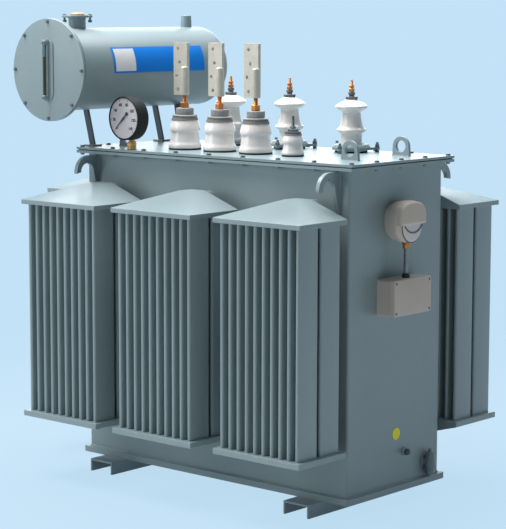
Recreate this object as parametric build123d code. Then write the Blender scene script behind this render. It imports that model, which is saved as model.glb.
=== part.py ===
from build123d import *
import os
from math import acos, atan2, cos, degrees, hypot, radians, sin, sqrt

# An oil-filled distribution transformer, in millimetres: a rectangular tank on two skids, seven tube
# radiators, a bolted cover with its bushings, and an oil conservator over one end.
# X runs along the tank, Y across it towards the high-voltage side, and Z up from the floor.

# Tank, its rims and its feet
tank_length = 1117
tank_depth = 473
tank_height = 1013
tank_corner_radius = 8
base_end_overhang = 14.5
base_side_overhang = 15
base_thickness = 20
base_corner_radius = 6
rim_end_overhang = 31.5
rim_side_overhang = 26.5
cover_thickness = 8
cover_corner_radius = 6
flange_thickness = 9
gasket_thickness = 3
gasket_inset = 6
gasket_width = 45
skid_height = 42
skid_width = 100
skid_wall = 6
skid_overhang = 66.5
skid_inset = 149
weld_fit = 0.3

# Radiators: two headers with flat-oval tubes between them
header_side_margin = 15.45
header_front_margin = 15
header_wall_gap = 51
header_rim_drop = 149
top_rim_height = 15
top_header_rise = 52
header_bottom_rise = 142
bottom_rim_height = 18
bottom_header_drop = 40
ridge_width = 58
ridge_depth = 55
tube_thickness = 13
tube_depth = 90
tube_columns = 10
tube_pitch = 32.9
tube_rows = 2
tube_row_gap = 13
tube_edge_width = 5
tube_edge_taper = 7
top_neck_radius = 22
bottom_neck_radius = 15
radiator_gap = 83
middle_radiator_shift = -9

# Lifting hooks on the long walls, and lugs on the cover
hook_inset = 43.5
hook_thickness = 14
hook_reach = 100
hook_top_gap = 5
hook_outer_radius = 54
hook_inner_radius = 29
hook_tip_width = 19
hook_root_height = 126
lug_end_inset = 112.5
lug_side_inset = 133
lug_base_width = 70
lug_hole_height = 31
lug_outer_radius = 30.5
lug_hole_radius = 19
lug_thickness = 10

# Conservator: a horizontal drum along Y over the left end of the cover
drum_radius = 136.5
drum_wall = 4
drum_inset = 15
drum_gap = 123.5
drum_front_overhang = 137
drum_back_overhang = 70
drum_flange_width = 32
drum_flange_thickness = 8
drum_cover_thickness = 8
drum_end_depth = 22
drum_end_crown_radius = 116
leg_front_inset = 58
leg_rear_inset = 132
leg_width = 22
leg_thickness = 8
leg_foot_offset = 9
leg_top_offset = -23
leg_foot_width = 40
leg_foot_depth = 44
leg_foot_thickness = 6
pipe_inset = 71
pipe_foot_offset = 51
pipe_top_offset = 22
pipe_radius = 13
pipe_foot_radius = 30
pipe_foot_thickness = 8
filler_inset = 135
filler_radius = 29
filler_height = 34
filler_cap_radius = 44
filler_cap_thickness = 9
filler_plug_radius = 20.5
filler_plug_height = 9
filler_ear_reach = 56
filler_ear_width = 16
vent_inset = 65
vent_foot_radius = 18.5
vent_top_radius = 14
vent_height = 40
vent_sleeve_height = 18

# Sight gauge on the drum's cover
gauge_length = 206
gauge_width = 16
gauge_wall = 2
gauge_depth = 9
gauge_block_height = 18
gauge_block_depth = 26
glass_radius = 5
glass_stand_off = 18

# Dial thermometer in its pocket near the front edge of the cover
dial_end_inset = 230
dial_side_inset = 35
dial_height = 103
dial_radius = 72
dial_case_depth = 45
dial_front_overhang = 33
dial_turn = -6
dial_rim_width = 5
dial_face_recess = 4
dial_back_chamfer = 6
pocket_radius = 11
pocket_hex_across = 32
pocket_hex_height = 14
pocket_boss_radius = 17
pocket_boss_height = 8

# Low-voltage bushings along the front of the cover
lv_pitch = 154.5
lv_row_inset = 154
lv_count = 3
bushing_gasket_thickness = 5
porcelain_lip = 8
lv_foot_radius = 54.5
lv_waist_radius = 46
lv_shed_radius = 49.5
lv_crown_radius = 38.5
lv_waist_height = 63
lv_shed_top = 92
lv_crown_height = 107
lv_washer_radius = 41
lv_washer_thickness = 6
lv_cap_radius = 29
lv_cap_height = 30
lv_nut_across = 26
lv_nut_height = 20
lv_stud_radius = 7
lv_stud_show = 21
flag_barrel_radius = 13
flag_barrel_height = 94
flag_width = 60
flag_height = 173
flag_thickness = 12
flag_offset_y = 8
flag_right_edge = 8
flag_hole_radius = 6
flag_hole_pitch = 44.5
flag_lowest_hole = 19
flag_hole_inset = 20
flag_hole_stagger = 7

# Neutral bushing, at the right of the same row
neutral_foot_radius = 35.5
neutral_waist_radius = 29.5
neutral_shed_radius = 33
neutral_crown_radius = 25
neutral_waist_height = 43
neutral_shed_top = 64
neutral_crown_height = 72
neutral_washer_radius = 25.5
neutral_washer_thickness = 6
neutral_cap_radius = 17.5
neutral_cap_height = 15
neutral_nut_across = 17
neutral_nut_height = 8
neutral_stud_radius = 4.5
neutral_stud_show = 32

# High-voltage bushings along the rear of the cover
hv_pitch = 260
hv_row_inset = 111
hv_count = 3
hv_foot_radius = 53
hv_foot_height = 20
hv_lower_neck_radius = 34
hv_upper_neck_radius = 30
hv_flare_radius = 39
hv_flare_height = 18
hv_lower_shed_radius = 51.5
hv_upper_shed_radius = 56.5
hv_lower_shed_bottom = 57
hv_lower_shed_edge = 68
hv_lower_shed_top = 81
hv_upper_shed_bottom = 129
hv_upper_shed_edge = 141
hv_crown_height = 170
hv_crown_radius = 21
hv_shed_lip = 6
hv_washer_radius = 20
hv_washer_thickness = 10
hv_locknut_across = 20
hv_locknut_height = 14
hv_nut_across = 16
hv_nut_height = 26
hv_stud_radius = 5
hv_stud_show = 14
clamp_ring_bottom = 8
clamp_lip_gap = 8
clamp_lip_thickness = 6
clamp_ring_width = 9
clamp_arm_count = 3
clamp_arm_angle = 42
clamp_arm_length = 22
clamp_arm_width = 16
clamp_arm_thickness = 8
clamp_fit = 0.3

# Wall relay, conduit and terminal box on the right end
relay_y = -4
relay_drop = 234
relay_width = 138
relay_height = 130
relay_depth = 58
relay_visor_depth = 14
relay_top_radius = 62
relay_foot_radius = 34
relay_dial_radius = 52
relay_dial_depth = 3
conduit_offset = 40
conduit_radius = 8
conduit_gland_across = 26
conduit_gland_height = 17
box_y = -2
conduit_length = 117
box_width = 190
box_height = 112
box_depth = 48
box_lid_depth = 20
box_seam = 1.5
box_corner_radius = 6

# Earth terminal and drain valve low on the right end
earth_y = 50
earth_rise = 100
earth_boss_radius = 14
earth_boss_depth = 12
earth_bolt_across = 19
earth_bolt_depth = 14
valve_inset = 68.5
valve_rise = 50
valve_flange_radius = 30
valve_flange_thickness = 8
valve_neck_radius = 13
valve_neck_length = 18
valve_body_radius = 20
valve_body_height = 54
valve_bonnet_radius = 13
valve_bonnet_height = 16
valve_spindle_side = 10
valve_spindle_height = 12
valve_outlet_radius = 15
valve_outlet_height = 16

# Levels and faces that follow from those sizes
base_bottom = skid_height
base_length = tank_length + 2 * base_end_overhang
base_depth = tank_depth + 2 * base_side_overhang
skid_length = base_depth + 2 * skid_overhang
skid_spacing = base_length - 2 * skid_inset
tank_bottom = base_bottom + base_thickness
tank_top = tank_bottom + tank_height
wall_right = tank_length / 2
cover_length = tank_length + 2 * rim_end_overhang
cover_depth = tank_depth + 2 * rim_side_overhang
cover_bottom = tank_top + gasket_thickness
cover_top = cover_bottom + cover_thickness

header_width = (tube_columns - 1) * tube_pitch + tube_thickness + 2 * header_side_margin
header_depth = tube_rows * tube_depth + (tube_rows - 1) * tube_row_gap + 2 * header_front_margin
tube_top = tank_top - header_rim_drop - top_rim_height
tube_bottom = tank_bottom + header_bottom_rise + bottom_rim_height
radiator_pitch = header_width + radiator_gap
hook_spacing = tank_length - 2 * hook_inset
lug_spacing_x = cover_length - 2 * lug_end_inset
lug_spacing_y = cover_depth - 2 * lug_side_inset

drum_centre_x = drum_inset - cover_length / 2
drum_centre_height = drum_radius + drum_gap
drum_centre_z = cover_top + drum_centre_height
drum_front_y = -cover_depth / 2 - drum_front_overhang
drum_back_y = cover_depth / 2 + drum_back_overhang
drum_flange_radius = drum_radius + drum_flange_width
leg_front_y = leg_front_inset - cover_depth / 2
leg_rear_y = cover_depth / 2 - leg_rear_inset
leg_foot_x = drum_centre_x + leg_foot_offset
leg_top_x = drum_centre_x + leg_top_offset
pipe_y = cover_depth / 2 - pipe_inset
pipe_foot_x = drum_centre_x + pipe_foot_offset
pipe_top_x = drum_centre_x + pipe_top_offset
filler_y = drum_front_y + filler_inset
vent_y = drum_back_y - vent_inset

dial_x = dial_end_inset - cover_length / 2
dial_pocket_y = dial_side_inset - cover_depth / 2
lv_row_y = lv_row_inset - cover_depth / 2
hv_row_y = cover_depth / 2 - hv_row_inset
clamp_ring_radius = hv_foot_radius + clamp_ring_width
clamp_lip_radius = hv_lower_neck_radius + clamp_lip_gap
clamp_arm_reach = clamp_ring_radius + clamp_arm_length
relay_bottom = tank_top - relay_drop
box_top = relay_bottom - conduit_length
earth_height = tank_bottom + earth_rise
valve_y = tank_depth / 2 - valve_inset
valve_height = tank_bottom + valve_rise
lv_row_x = [lv_pitch * (place - lv_count / 2) for place in range(lv_count + 1)]
hv_row_x = [hv_pitch * (place - (hv_count - 1) / 2) for place in range(hv_count)]

# The model is centred on its own reach: the end radiator on the left, the fittings on the right
left_reach = tank_length / 2 + header_wall_gap + header_depth
right_reach = wall_right + relay_depth + relay_visor_depth
centre_x = (right_reach - left_reach) / 2

UP = (Align.CENTER, Align.CENTER, Align.MIN)
os.makedirs("parts", exist_ok=True)


def save(name, *solids):
    """Write one piece, or several like pieces, about the model's own centre line."""
    moved = [Pos(-centre_x, 0, 0) * solid for solid in solids]
    shape = moved[0] if len(moved) == 1 else Compound(moved)
    export_step(shape, f"parts/{name}.step")


def upright(radius, height, x=0, y=0, z=0):
    """A round piece standing on the level z."""
    return Pos(x, y, z) * Cylinder(radius, height, align=UP)


def hexagon(across_flats, height, x=0, y=0, z=0):
    """A nut or hexagon head standing on the level z."""
    return Pos(x, y, z) * extrude(RegularPolygon(across_flats / 2, 6, major_radius=False), height)


def turned(*edges):
    """A solid of revolution about Z from edges drawn as radius and height."""
    return revolve(Plane.XZ * make_face(list(edges)), Axis.Z)


def mirrored_pair(solid, plane):
    """A piece and its twin across a plane."""
    return [solid, mirror(solid, about=plane)]


# Tank


def rounded_plate(length, depth, thickness, radius, z):
    """A flat plate with rounded corners, lying on the level z."""
    return Pos(0, 0, z) * extrude(RectangleRounded(length, depth, radius), thickness)


def tank_flange():
    """The rim welded round the tank's top edge."""
    plate = RectangleRounded(cover_length, cover_depth, cover_corner_radius)
    opening = RectangleRounded(
        tank_length + 2 * weld_fit, tank_depth + 2 * weld_fit, tank_corner_radius + weld_fit
    )
    return Pos(0, 0, tank_top - flange_thickness) * extrude(plate - opening, flange_thickness)


def cover_gasket():
    """The cork ring between the rim and the cover."""
    length = cover_length - 2 * gasket_inset
    depth = cover_depth - 2 * gasket_inset
    ring = Rectangle(length, depth) - Rectangle(length - 2 * gasket_width, depth - 2 * gasket_width)
    return Pos(0, 0, tank_top) * extrude(ring, gasket_thickness)


def skid(x):
    """A channel laid open side down, running across under the base."""
    web = Pos(0, skid_height / 2) * Rectangle(skid_width, skid_height)
    hollow = Pos(0, (skid_height - skid_wall) / 2) * Rectangle(
        skid_width - 2 * skid_wall, skid_height - skid_wall
    )
    return Pos(x, 0, 0) * extrude(Plane.XZ * (web - hollow), skid_length / 2, both=True)


# Radiators, drawn with the tank wall at y = 0 and the radiator on its negative side


def header(rim_height, rise, neck_radius, neck_height):
    """A shallow rim and a hipped roof whose flat ridge stands at the tank side, with its neck."""
    back = -header_wall_gap
    front = back - header_depth
    peak = rim_height + rise
    end_view = Polygon(
        (back, 0), (front, 0), (front, rim_height), (back - ridge_depth, peak), (back, peak), align=None
    )
    front_view = Polygon(
        (-header_width / 2, 0),
        (header_width / 2, 0),
        (header_width / 2, rim_height),
        (ridge_width / 2, peak),
        (-ridge_width / 2, peak),
        (-header_width / 2, rim_height),
        align=None,
    )
    body = extrude(Plane.YZ * end_view, header_width / 2, both=True)
    body &= extrude(Plane.XZ * front_view, -2 * front, both=True)
    neck = extrude(Plane.XZ * Pos(0, neck_height) * Circle(neck_radius), header_wall_gap + ridge_depth / 2)
    return body + neck


def top_header():
    """The upper header, on the tubes."""
    return Pos(0, 0, tube_top) * header(
        top_rim_height, top_header_rise, top_neck_radius, top_rim_height + top_neck_radius
    )


def bottom_header():
    """The lower header: the same form turned over."""
    tray = header(bottom_rim_height, bottom_header_drop, bottom_neck_radius, bottom_rim_height)
    return Pos(0, 0, tube_bottom) * mirror(tray, about=Plane.XY)


def tubes():
    """The rows of flat tubes between the two headers, each narrowing to a blunt edge."""
    half_width = tube_thickness / 2
    half_depth = tube_depth / 2
    corner = [(half_width, half_depth - tube_edge_taper), (tube_edge_width / 2, half_depth)]
    right_side = [(x, -y) for x, y in reversed(corner)] + corner
    section = Polygon(*right_side, *[(-x, -y) for x, y in right_side], align=None)
    tube = extrude(section, tube_top - tube_bottom)
    middle = -(header_wall_gap + header_depth / 2)
    row_pitch = tube_depth + tube_row_gap
    places = GridLocations(tube_pitch, row_pitch, tube_columns, tube_rows)
    return [Pos(0, middle, tube_bottom) * place * tube for place in places]


def radiator_places():
    """Each radiator's name with the place and turn that set it on its wall."""
    front = -tank_depth / 2
    rear = tank_depth / 2
    stations = [
        ("left", -radiator_pitch),
        ("middle", middle_radiator_shift),
        ("right", radiator_pitch),
    ]
    places = {f"radiator_front_{side}": Pos(x, front, 0) for side, x in stations}
    places |= {f"radiator_rear_{side}": Pos(x, rear, 0) * Rot(0, 0, 180) for side, x in stations}
    places["radiator_end"] = Pos(-tank_length / 2, 0, 0) * Rot(0, 0, -90)
    return places


# Lifting points


def lifting_hook(x):
    """A plate hook on the front wall: it curls out and down, and its root tapers into the wall."""
    top = tank_top - flange_thickness - hook_top_gap
    centre_z = top - hook_outer_radius
    bend_y = hook_outer_radius - hook_reach
    tip_y = hook_tip_width - hook_reach
    throat_y = tip_y + hook_inner_radius
    half_turn = hook_outer_radius * sin(radians(45))
    outline = [
        Line((0, top), (bend_y, top)),
        ThreePointArc((bend_y, top), (bend_y - half_turn, centre_z + half_turn), (-hook_reach, centre_z)),
        Line((-hook_reach, centre_z), (tip_y, centre_z)),
        ThreePointArc(
            (tip_y, centre_z),
            (throat_y, centre_z + hook_inner_radius),
            (throat_y + hook_inner_radius, centre_z),
        ),
        Line((throat_y + hook_inner_radius, centre_z), (0, top - hook_root_height)),
        Line((0, top - hook_root_height), (0, top)),
    ]
    plate = extrude(Plane.YZ * make_face(outline), hook_thickness / 2, both=True)
    return Pos(x, -tank_depth / 2, 0) * plate


def cover_lug(x, y):
    """A plate eye on the cover: straight flanks run tangent into the round head."""
    half_base = lug_base_width / 2
    reach = hypot(half_base, lug_hole_height)
    angle = acos(lug_outer_radius / reach) - atan2(lug_hole_height, half_base)
    shoulder_x = lug_outer_radius * cos(angle)
    shoulder_z = lug_hole_height + lug_outer_radius * sin(angle)
    flanks = Polygon(
        (-half_base, 0), (half_base, 0), (shoulder_x, shoulder_z), (-shoulder_x, shoulder_z), align=None
    )
    eye = flanks + Pos(0, lug_hole_height) * Circle(lug_outer_radius)
    eye -= Pos(0, lug_hole_height) * Circle(lug_hole_radius)
    return Pos(x, y, cover_top) * extrude(Plane.XZ * eye, lug_thickness / 2, both=True)


# Conservator


def along_drum(solid, y=drum_back_y):
    """Lay a piece turned about Z along the drum, its height running towards the front."""
    return Pos(drum_centre_x, y, drum_centre_z) * Rot(90, 0, 0) * solid


def drum_clearance():
    """The drum's outside with a weld's clearance, to cut what meets it."""
    length = drum_back_y - drum_front_y
    return along_drum(upright(drum_radius + weld_fit, length))


def conservator_shell():
    """The rolled drum with the ring at its front that takes the cover."""
    inside = drum_radius - drum_wall
    back = drum_end_depth
    front = drum_back_y - drum_front_y - drum_cover_thickness
    ring_back = front - drum_flange_thickness
    profile = Polyline(
        (inside, back),
        (drum_radius, back),
        (drum_radius, ring_back),
        (drum_flange_radius, ring_back),
        (drum_flange_radius, front),
        (inside, front),
        (inside, back),
    )
    return along_drum(turned(*profile.edges()))


def conservator_cover():
    """The round cover bolted on the drum's front ring."""
    front = drum_back_y - drum_front_y
    return along_drum(upright(drum_flange_radius, drum_cover_thickness, z=front - drum_cover_thickness))


def conservator_end():
    """The shallow pressed end, with its sloping knuckle."""
    rim = drum_radius - drum_wall
    profile = Polyline(
        (0, 0),
        (drum_end_crown_radius, 0),
        (drum_radius, drum_end_depth),
        (rim, drum_end_depth),
        (rim, drum_end_depth - drum_wall),
        (drum_end_crown_radius, drum_wall),
        (0, drum_wall),
        (0, 0),
    )
    return along_drum(turned(*profile.edges()))


def conservator_leg(y):
    """A flat bar leaning out from its foot on the cover to the underside of the drum."""
    foot_top = cover_top + leg_foot_thickness
    half = leg_width / 2
    lean = (leg_top_x - leg_foot_x) / (drum_centre_height - drum_radius)
    rise = drum_centre_height - drum_radius / 2
    top_x = leg_foot_x + lean * rise
    bar = Polygon(
        (leg_foot_x - half, cover_top),
        (leg_foot_x + half, cover_top),
        (top_x + half, cover_top + rise),
        (top_x - half, cover_top + rise),
        align=None,
    )
    leg = Pos(0, y, 0) * extrude(Plane.XZ * bar, leg_thickness / 2, both=True)
    foot = Box(leg_foot_width, leg_foot_depth, leg_foot_thickness, align=UP)
    return leg + Pos(leg_foot_x, y, foot_top - leg_foot_thickness) * foot - drum_clearance()


def oil_pipe():
    """The pipe that joins the drum to the tank, from its flange on the cover."""
    rise = drum_centre_height - drum_radius * 0.6
    run = pipe_top_x - pipe_foot_x
    lean = degrees(atan2(run, rise))
    pipe = Pos(pipe_foot_x, pipe_y, cover_top) * Rot(0, lean, 0) * upright(pipe_radius, hypot(rise, run))
    floor_cut = Pos(pipe_foot_x, pipe_y, cover_top - drum_radius) * Box(
        4 * pipe_foot_radius, 4 * pipe_foot_radius, drum_radius, align=UP
    )
    foot = upright(pipe_foot_radius, pipe_foot_thickness, pipe_foot_x, pipe_y, cover_top)
    return pipe + foot - drum_clearance() - floor_cut


def oil_filler():
    """The filling neck on the crown of the drum, with its clamped cap."""
    crown = drum_centre_z + drum_radius
    cap_bottom = crown + filler_height
    neck = upright(filler_radius, filler_height + drum_radius / 2, z=crown - drum_radius / 2)
    cap = upright(filler_cap_radius, filler_cap_thickness, z=cap_bottom)
    ears = Pos(0, 0, cap_bottom) * Box(
        2 * filler_ear_reach, filler_ear_width, filler_cap_thickness, align=UP
    )
    plug = upright(filler_plug_radius, filler_plug_height, z=cap_bottom + filler_cap_thickness)
    return Pos(drum_centre_x, filler_y, 0) * (neck + cap + ears + plug) - drum_clearance()


def conservator_vent():
    """The stub and its sleeve on the crown behind the filler."""
    crown = drum_centre_z + drum_radius
    root = crown - drum_radius / 4
    sleeve = upright(vent_foot_radius, vent_sleeve_height + crown - root, z=root)
    stub = upright(vent_top_radius, vent_height, z=crown)
    return Pos(drum_centre_x, vent_y, 0) * (sleeve + stub) - drum_clearance()



def sight_gauge_guard():
    """The open channel that guards the glass, with a block at each end that holds it."""
    half = gauge_length / 2
    front = -gauge_depth
    channel = Pos(0, front / 2) * Rectangle(gauge_width, gauge_depth)
    channel -= Pos(0, (front - gauge_wall) / 2) * Rectangle(
        gauge_width - 2 * gauge_wall, gauge_depth - gauge_wall
    )
    guard = Pos(0, 0, -half) * extrude(channel, gauge_length)
    block = Pos(0, -gauge_block_depth / 2, 0) * Box(
        gauge_width, gauge_block_depth, gauge_block_height
    )
    block_z = half - gauge_block_height / 2
    guard = guard + Pos(0, 0, block_z) * block + Pos(0, 0, -block_z) * block
    return Pos(drum_centre_x, drum_front_y, drum_centre_z) * guard


def sight_glass():
    """The glass tube between the two blocks."""
    length = gauge_length - 2 * gauge_block_height
    return upright(
        glass_radius, length, drum_centre_x, drum_front_y - glass_stand_off, drum_centre_z - length / 2
    )


# Dial thermometer


def dial_thermometer():
    """The round case, open at the front as far as its dial, turned a little on its stem."""
    rim = dial_radius - dial_rim_width
    profile = Polyline(
        (0, 0),
        (dial_radius - dial_back_chamfer, 0),
        (dial_radius, dial_back_chamfer),
        (dial_radius, dial_case_depth),
        (rim, dial_case_depth),
        (rim, dial_case_depth - dial_face_recess),
        (0, dial_case_depth - dial_face_recess),
        (0, 0),
    )
    case = Rot(90, 0, 0) * turned(*profile.edges())
    back_y = dial_case_depth - dial_front_overhang
    case = Rot(0, 0, dial_turn) * Pos(0, back_y, 0) * case
    return Pos(dial_x, dial_pocket_y, cover_top + dial_height) * case


def thermometer_pocket():
    """The brass stem from its boss on the cover to the underside of the case."""
    boss = upright(pocket_boss_radius, pocket_boss_height, z=cover_top)
    nut = hexagon(pocket_hex_across, pocket_hex_height, z=cover_top + pocket_boss_height)
    stem = upright(pocket_radius, dial_height, z=cover_top)
    case_hole = Pos(0, 0, cover_top + dial_height) * Rot(0, 0, dial_turn) * Rot(90, 0, 0)
    case_hole *= Cylinder(dial_radius + weld_fit, 4 * dial_case_depth)
    return Pos(dial_x, dial_pocket_y, 0) * (boss + nut + stem - case_hole)


# Bushings


def low_porcelain(foot, waist, shed, crown, waist_z, shed_top, crown_z):
    """A squat glazed insulator: flared foot, straight waist, one shed, sloping crown."""
    base = bushing_gasket_thickness
    profile = Polyline(
        (0, base),
        (foot, base),
        (foot, base + porcelain_lip),
        (waist, 2 * (base + porcelain_lip)),
        (waist, waist_z),
        (shed, waist_z),
        (shed, shed_top),
        (crown, crown_z),
        (0, crown_z),
        (0, base),
    )
    return turned(*profile.edges())


def lv_porcelain(x):
    """One low-voltage insulator at its place on the cover."""
    return Pos(x, lv_row_y, cover_top) * low_porcelain(
        lv_foot_radius, lv_waist_radius, lv_shed_radius, lv_crown_radius,
        lv_waist_height, lv_shed_top, lv_crown_height,
    )


def neutral_porcelain(x):
    """The smaller insulator of the neutral."""
    return Pos(x, lv_row_y, cover_top) * low_porcelain(
        neutral_foot_radius, neutral_waist_radius, neutral_shed_radius, neutral_crown_radius,
        neutral_waist_height, neutral_shed_top, neutral_crown_height,
    )


def lv_cap(x):
    """The washer and round cap on an insulator's crown."""
    washer = upright(lv_washer_radius, lv_washer_thickness)
    return Pos(x, lv_row_y, cover_top + lv_crown_height) * (washer + upright(lv_cap_radius, lv_cap_height))


def lv_stud(x):
    """The copper stud between cap and flag, with its nut."""
    stud = upright(lv_stud_radius, lv_nut_height + lv_stud_show)
    nut = hexagon(lv_nut_across, lv_nut_height)
    return Pos(x, lv_row_y, cover_top + lv_crown_height + lv_cap_height) * (stud + nut)


def flag_bottom():
    """The level of a flag's lower end."""
    return cover_top + lv_crown_height + lv_cap_height + lv_nut_height + lv_stud_show


def flag_holes():
    """The flag's four staggered holes, from the stud's axis and the flag's lower end."""
    left = flag_right_edge - flag_width
    stagger = [0, -flag_hole_stagger, flag_hole_stagger, 0]
    return [
        (left + flag_hole_inset + side, flag_lowest_hole + place * flag_hole_pitch)
        for place, side in enumerate(stagger)
    ]


def lv_flag(x):
    """A flag terminal: a barrel that screws on the stud, and a drilled plate along its back."""
    plate = Pos(flag_right_edge - flag_width / 2, flag_height / 2) * Rectangle(flag_width, flag_height)
    for hole_x, hole_z in flag_holes():
        plate -= Pos(hole_x, hole_z) * Circle(flag_hole_radius)
    blade = Pos(0, flag_offset_y, 0) * extrude(Plane.XZ * plate, flag_thickness / 2, both=True)
    barrel = upright(flag_barrel_radius, flag_barrel_height)
    return Pos(x, lv_row_y, flag_bottom()) * (blade + barrel)


def neutral_terminal(x):
    """The neutral's washer, cap, nut and stud."""
    washer = upright(neutral_washer_radius, neutral_washer_thickness)
    cap = upright(neutral_cap_radius, neutral_cap_height)
    nut = hexagon(neutral_nut_across, neutral_nut_height, z=neutral_cap_height)
    stud = upright(neutral_stud_radius, neutral_cap_height + neutral_nut_height + neutral_stud_show)
    return Pos(x, lv_row_y, cover_top + neutral_crown_height) * (washer + cap + nut + stud)


def hv_porcelain(x):
    """A glazed insulator: foot under the clamp ring, lower shed, flared neck, broad upper shed."""
    base = bushing_gasket_thickness
    profile = Polyline(
        (0, base),
        (hv_foot_radius, base),
        (hv_foot_radius, hv_foot_height),
        (hv_lower_neck_radius, hv_foot_height),
        (hv_lower_neck_radius, hv_lower_shed_bottom),
        (hv_lower_shed_radius, hv_lower_shed_edge),
        (hv_lower_shed_radius, hv_lower_shed_edge + hv_shed_lip),
        (hv_flare_radius, hv_lower_shed_top),
        (hv_upper_neck_radius, hv_lower_shed_top + hv_flare_height),
        (hv_upper_neck_radius, hv_upper_shed_bottom),
        (hv_upper_shed_radius, hv_upper_shed_edge),
        (hv_upper_shed_radius, hv_upper_shed_edge + hv_shed_lip),
        (hv_crown_radius, hv_crown_height),
        (0, hv_crown_height),
        (0, base),
    )
    return Pos(x, hv_row_y, cover_top) * turned(*profile.edges())


def hv_clamp(x):
    """The clamping ring on the insulator's foot, with its three tapered arms."""
    ring = Circle(clamp_ring_radius) - Circle(hv_foot_radius + clamp_fit)
    lip = Circle(clamp_ring_radius) - Circle(clamp_lip_radius)
    lip_bottom = hv_foot_height + clamp_fit
    clamp = Pos(0, 0, clamp_ring_bottom) * extrude(ring, lip_bottom - clamp_ring_bottom)
    clamp += Pos(0, 0, lip_bottom) * extrude(lip, clamp_lip_thickness)
    inner = hv_foot_radius + 2 * clamp_fit
    tip = clamp_arm_reach + clamp_arm_width / 2
    arm_plan = Polygon(
        (inner, -clamp_arm_width),
        (tip, -clamp_arm_width / 2),
        (tip, clamp_arm_width / 2),
        (inner, clamp_arm_width),
        align=None,
    )
    arm = Pos(0, 0, clamp_ring_bottom) * extrude(arm_plan, clamp_arm_thickness)
    for place in PolarLocations(0, clamp_arm_count, start_angle=clamp_arm_angle):
        clamp += place * arm
    return Pos(x, hv_row_y, cover_top) * clamp


def hv_terminal(x):
    """The washer, nuts and copper stud on an insulator's crown."""
    washer = upright(hv_washer_radius, hv_washer_thickness)
    locknut = hexagon(hv_locknut_across, hv_locknut_height, z=hv_washer_thickness)
    nut = hexagon(hv_nut_across, hv_nut_height, z=hv_washer_thickness + hv_locknut_height)
    height = hv_washer_thickness + hv_locknut_height + hv_nut_height + hv_stud_show
    stud = upright(hv_stud_radius, height)
    return Pos(x, hv_row_y, cover_top + hv_crown_height) * (washer + locknut + nut + stud)


def bushing_gaskets():
    """The black ring under each insulator."""
    rings = [(x, lv_row_y, lv_foot_radius) for x in lv_row_x[:lv_count]]
    rings.append((lv_row_x[lv_count], lv_row_y, neutral_foot_radius))
    rings += [(x, hv_row_y, hv_foot_radius) for x in hv_row_x]
    inset = 1.5
    return [upright(radius - inset, bushing_gasket_thickness, x, y, cover_top) for x, y, radius in rings]


# Fittings on the right end, drawn on the wall's own plane with Y across and Z up


def on_wall(sketch, depth, start=0):
    """A sketch of width and height, raised from the right wall."""
    return Pos(wall_right + start, 0, 0) * extrude(Plane.YZ * sketch, depth)


def relay_outline():
    """The helmet outline of the relay: broad round top, tighter round foot."""
    half = relay_width / 2
    block = Pos(relay_y, relay_bottom + relay_height / 2) * Rectangle(relay_width, relay_height)
    corners = block.vertices().sort_by(Axis.Y)
    block = fillet(corners[:2], relay_foot_radius)
    corners = block.vertices().group_by(Axis.Y)[-1]
    return fillet(corners, min(relay_top_radius, half - 1))


def wall_relay():
    """The relay's case, with a visor over the upper half of its round window."""
    outline = relay_outline()
    middle = relay_bottom + relay_height / 2
    upper = Pos(relay_y, middle + relay_height / 2) * Rectangle(2 * relay_width, relay_height)
    case = on_wall(outline, relay_depth)
    visor = on_wall(outline & upper, relay_visor_depth, relay_depth)
    window = on_wall(Pos(relay_y, middle) * Circle(relay_dial_radius), relay_dial_depth + 1, relay_depth - 1)
    return case + visor + window


def relay_conduit():
    """The conduit with the gland at each end, held between the relay and the box."""
    x = wall_right + conduit_offset
    upper_gland_bottom = relay_bottom - conduit_gland_height
    hose = upright(conduit_radius, conduit_length, x, relay_y, box_top)
    glands = hexagon(conduit_gland_across, conduit_gland_height, x, relay_y, box_top)
    glands += hexagon(conduit_gland_across, conduit_gland_height, x, relay_y, upper_gland_bottom)
    return hose + glands


def terminal_box():
    """The box on the wall, with the seam between its body and its lid."""
    outline = Pos(box_y, box_top - box_height / 2) * RectangleRounded(box_width, box_height, box_corner_radius)
    inner = Pos(box_y, box_top - box_height / 2) * RectangleRounded(
        box_width - 2 * box_seam, box_height - 2 * box_seam, box_corner_radius - box_seam
    )
    body = on_wall(outline, box_depth - box_seam)
    seam = on_wall(inner, box_seam, box_depth - box_seam)
    lid = on_wall(outline, box_lid_depth, box_depth)
    return body + seam + lid


def earth_terminal():
    """The welded boss and the bolt of the earth connection."""
    boss = on_wall(Pos(earth_y, earth_height) * Circle(earth_boss_radius), earth_boss_depth)
    head = Pos(earth_y, earth_height) * RegularPolygon(earth_bolt_across / 2, 6, major_radius=False)
    return boss + on_wall(head, earth_bolt_depth, earth_boss_depth)


def drain_valve():
    """The drain valve: flange on the wall, upright body, spindle above and plugged outlet below."""
    flange = on_wall(Pos(valve_y, valve_height) * Circle(valve_flange_radius), valve_flange_thickness)
    neck = on_wall(
        Pos(valve_y, valve_height) * Circle(valve_neck_radius), valve_neck_length, valve_flange_thickness
    )
    x = wall_right + valve_flange_thickness + valve_neck_length
    bottom = valve_height - valve_body_height / 2
    top = bottom + valve_body_height
    body = upright(valve_body_radius, valve_body_height, x, valve_y, bottom)
    bonnet = upright(valve_bonnet_radius, valve_bonnet_height, x, valve_y, top)
    spindle = Pos(x, valve_y, top + valve_bonnet_height) * Box(
        valve_spindle_side, valve_spindle_side, valve_spindle_height, align=UP
    )
    outlet = upright(valve_outlet_radius, valve_outlet_height, x, valve_y, bottom - valve_outlet_height)
    return flange + neck + body + bonnet + spindle + outlet


# Write every piece

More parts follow.
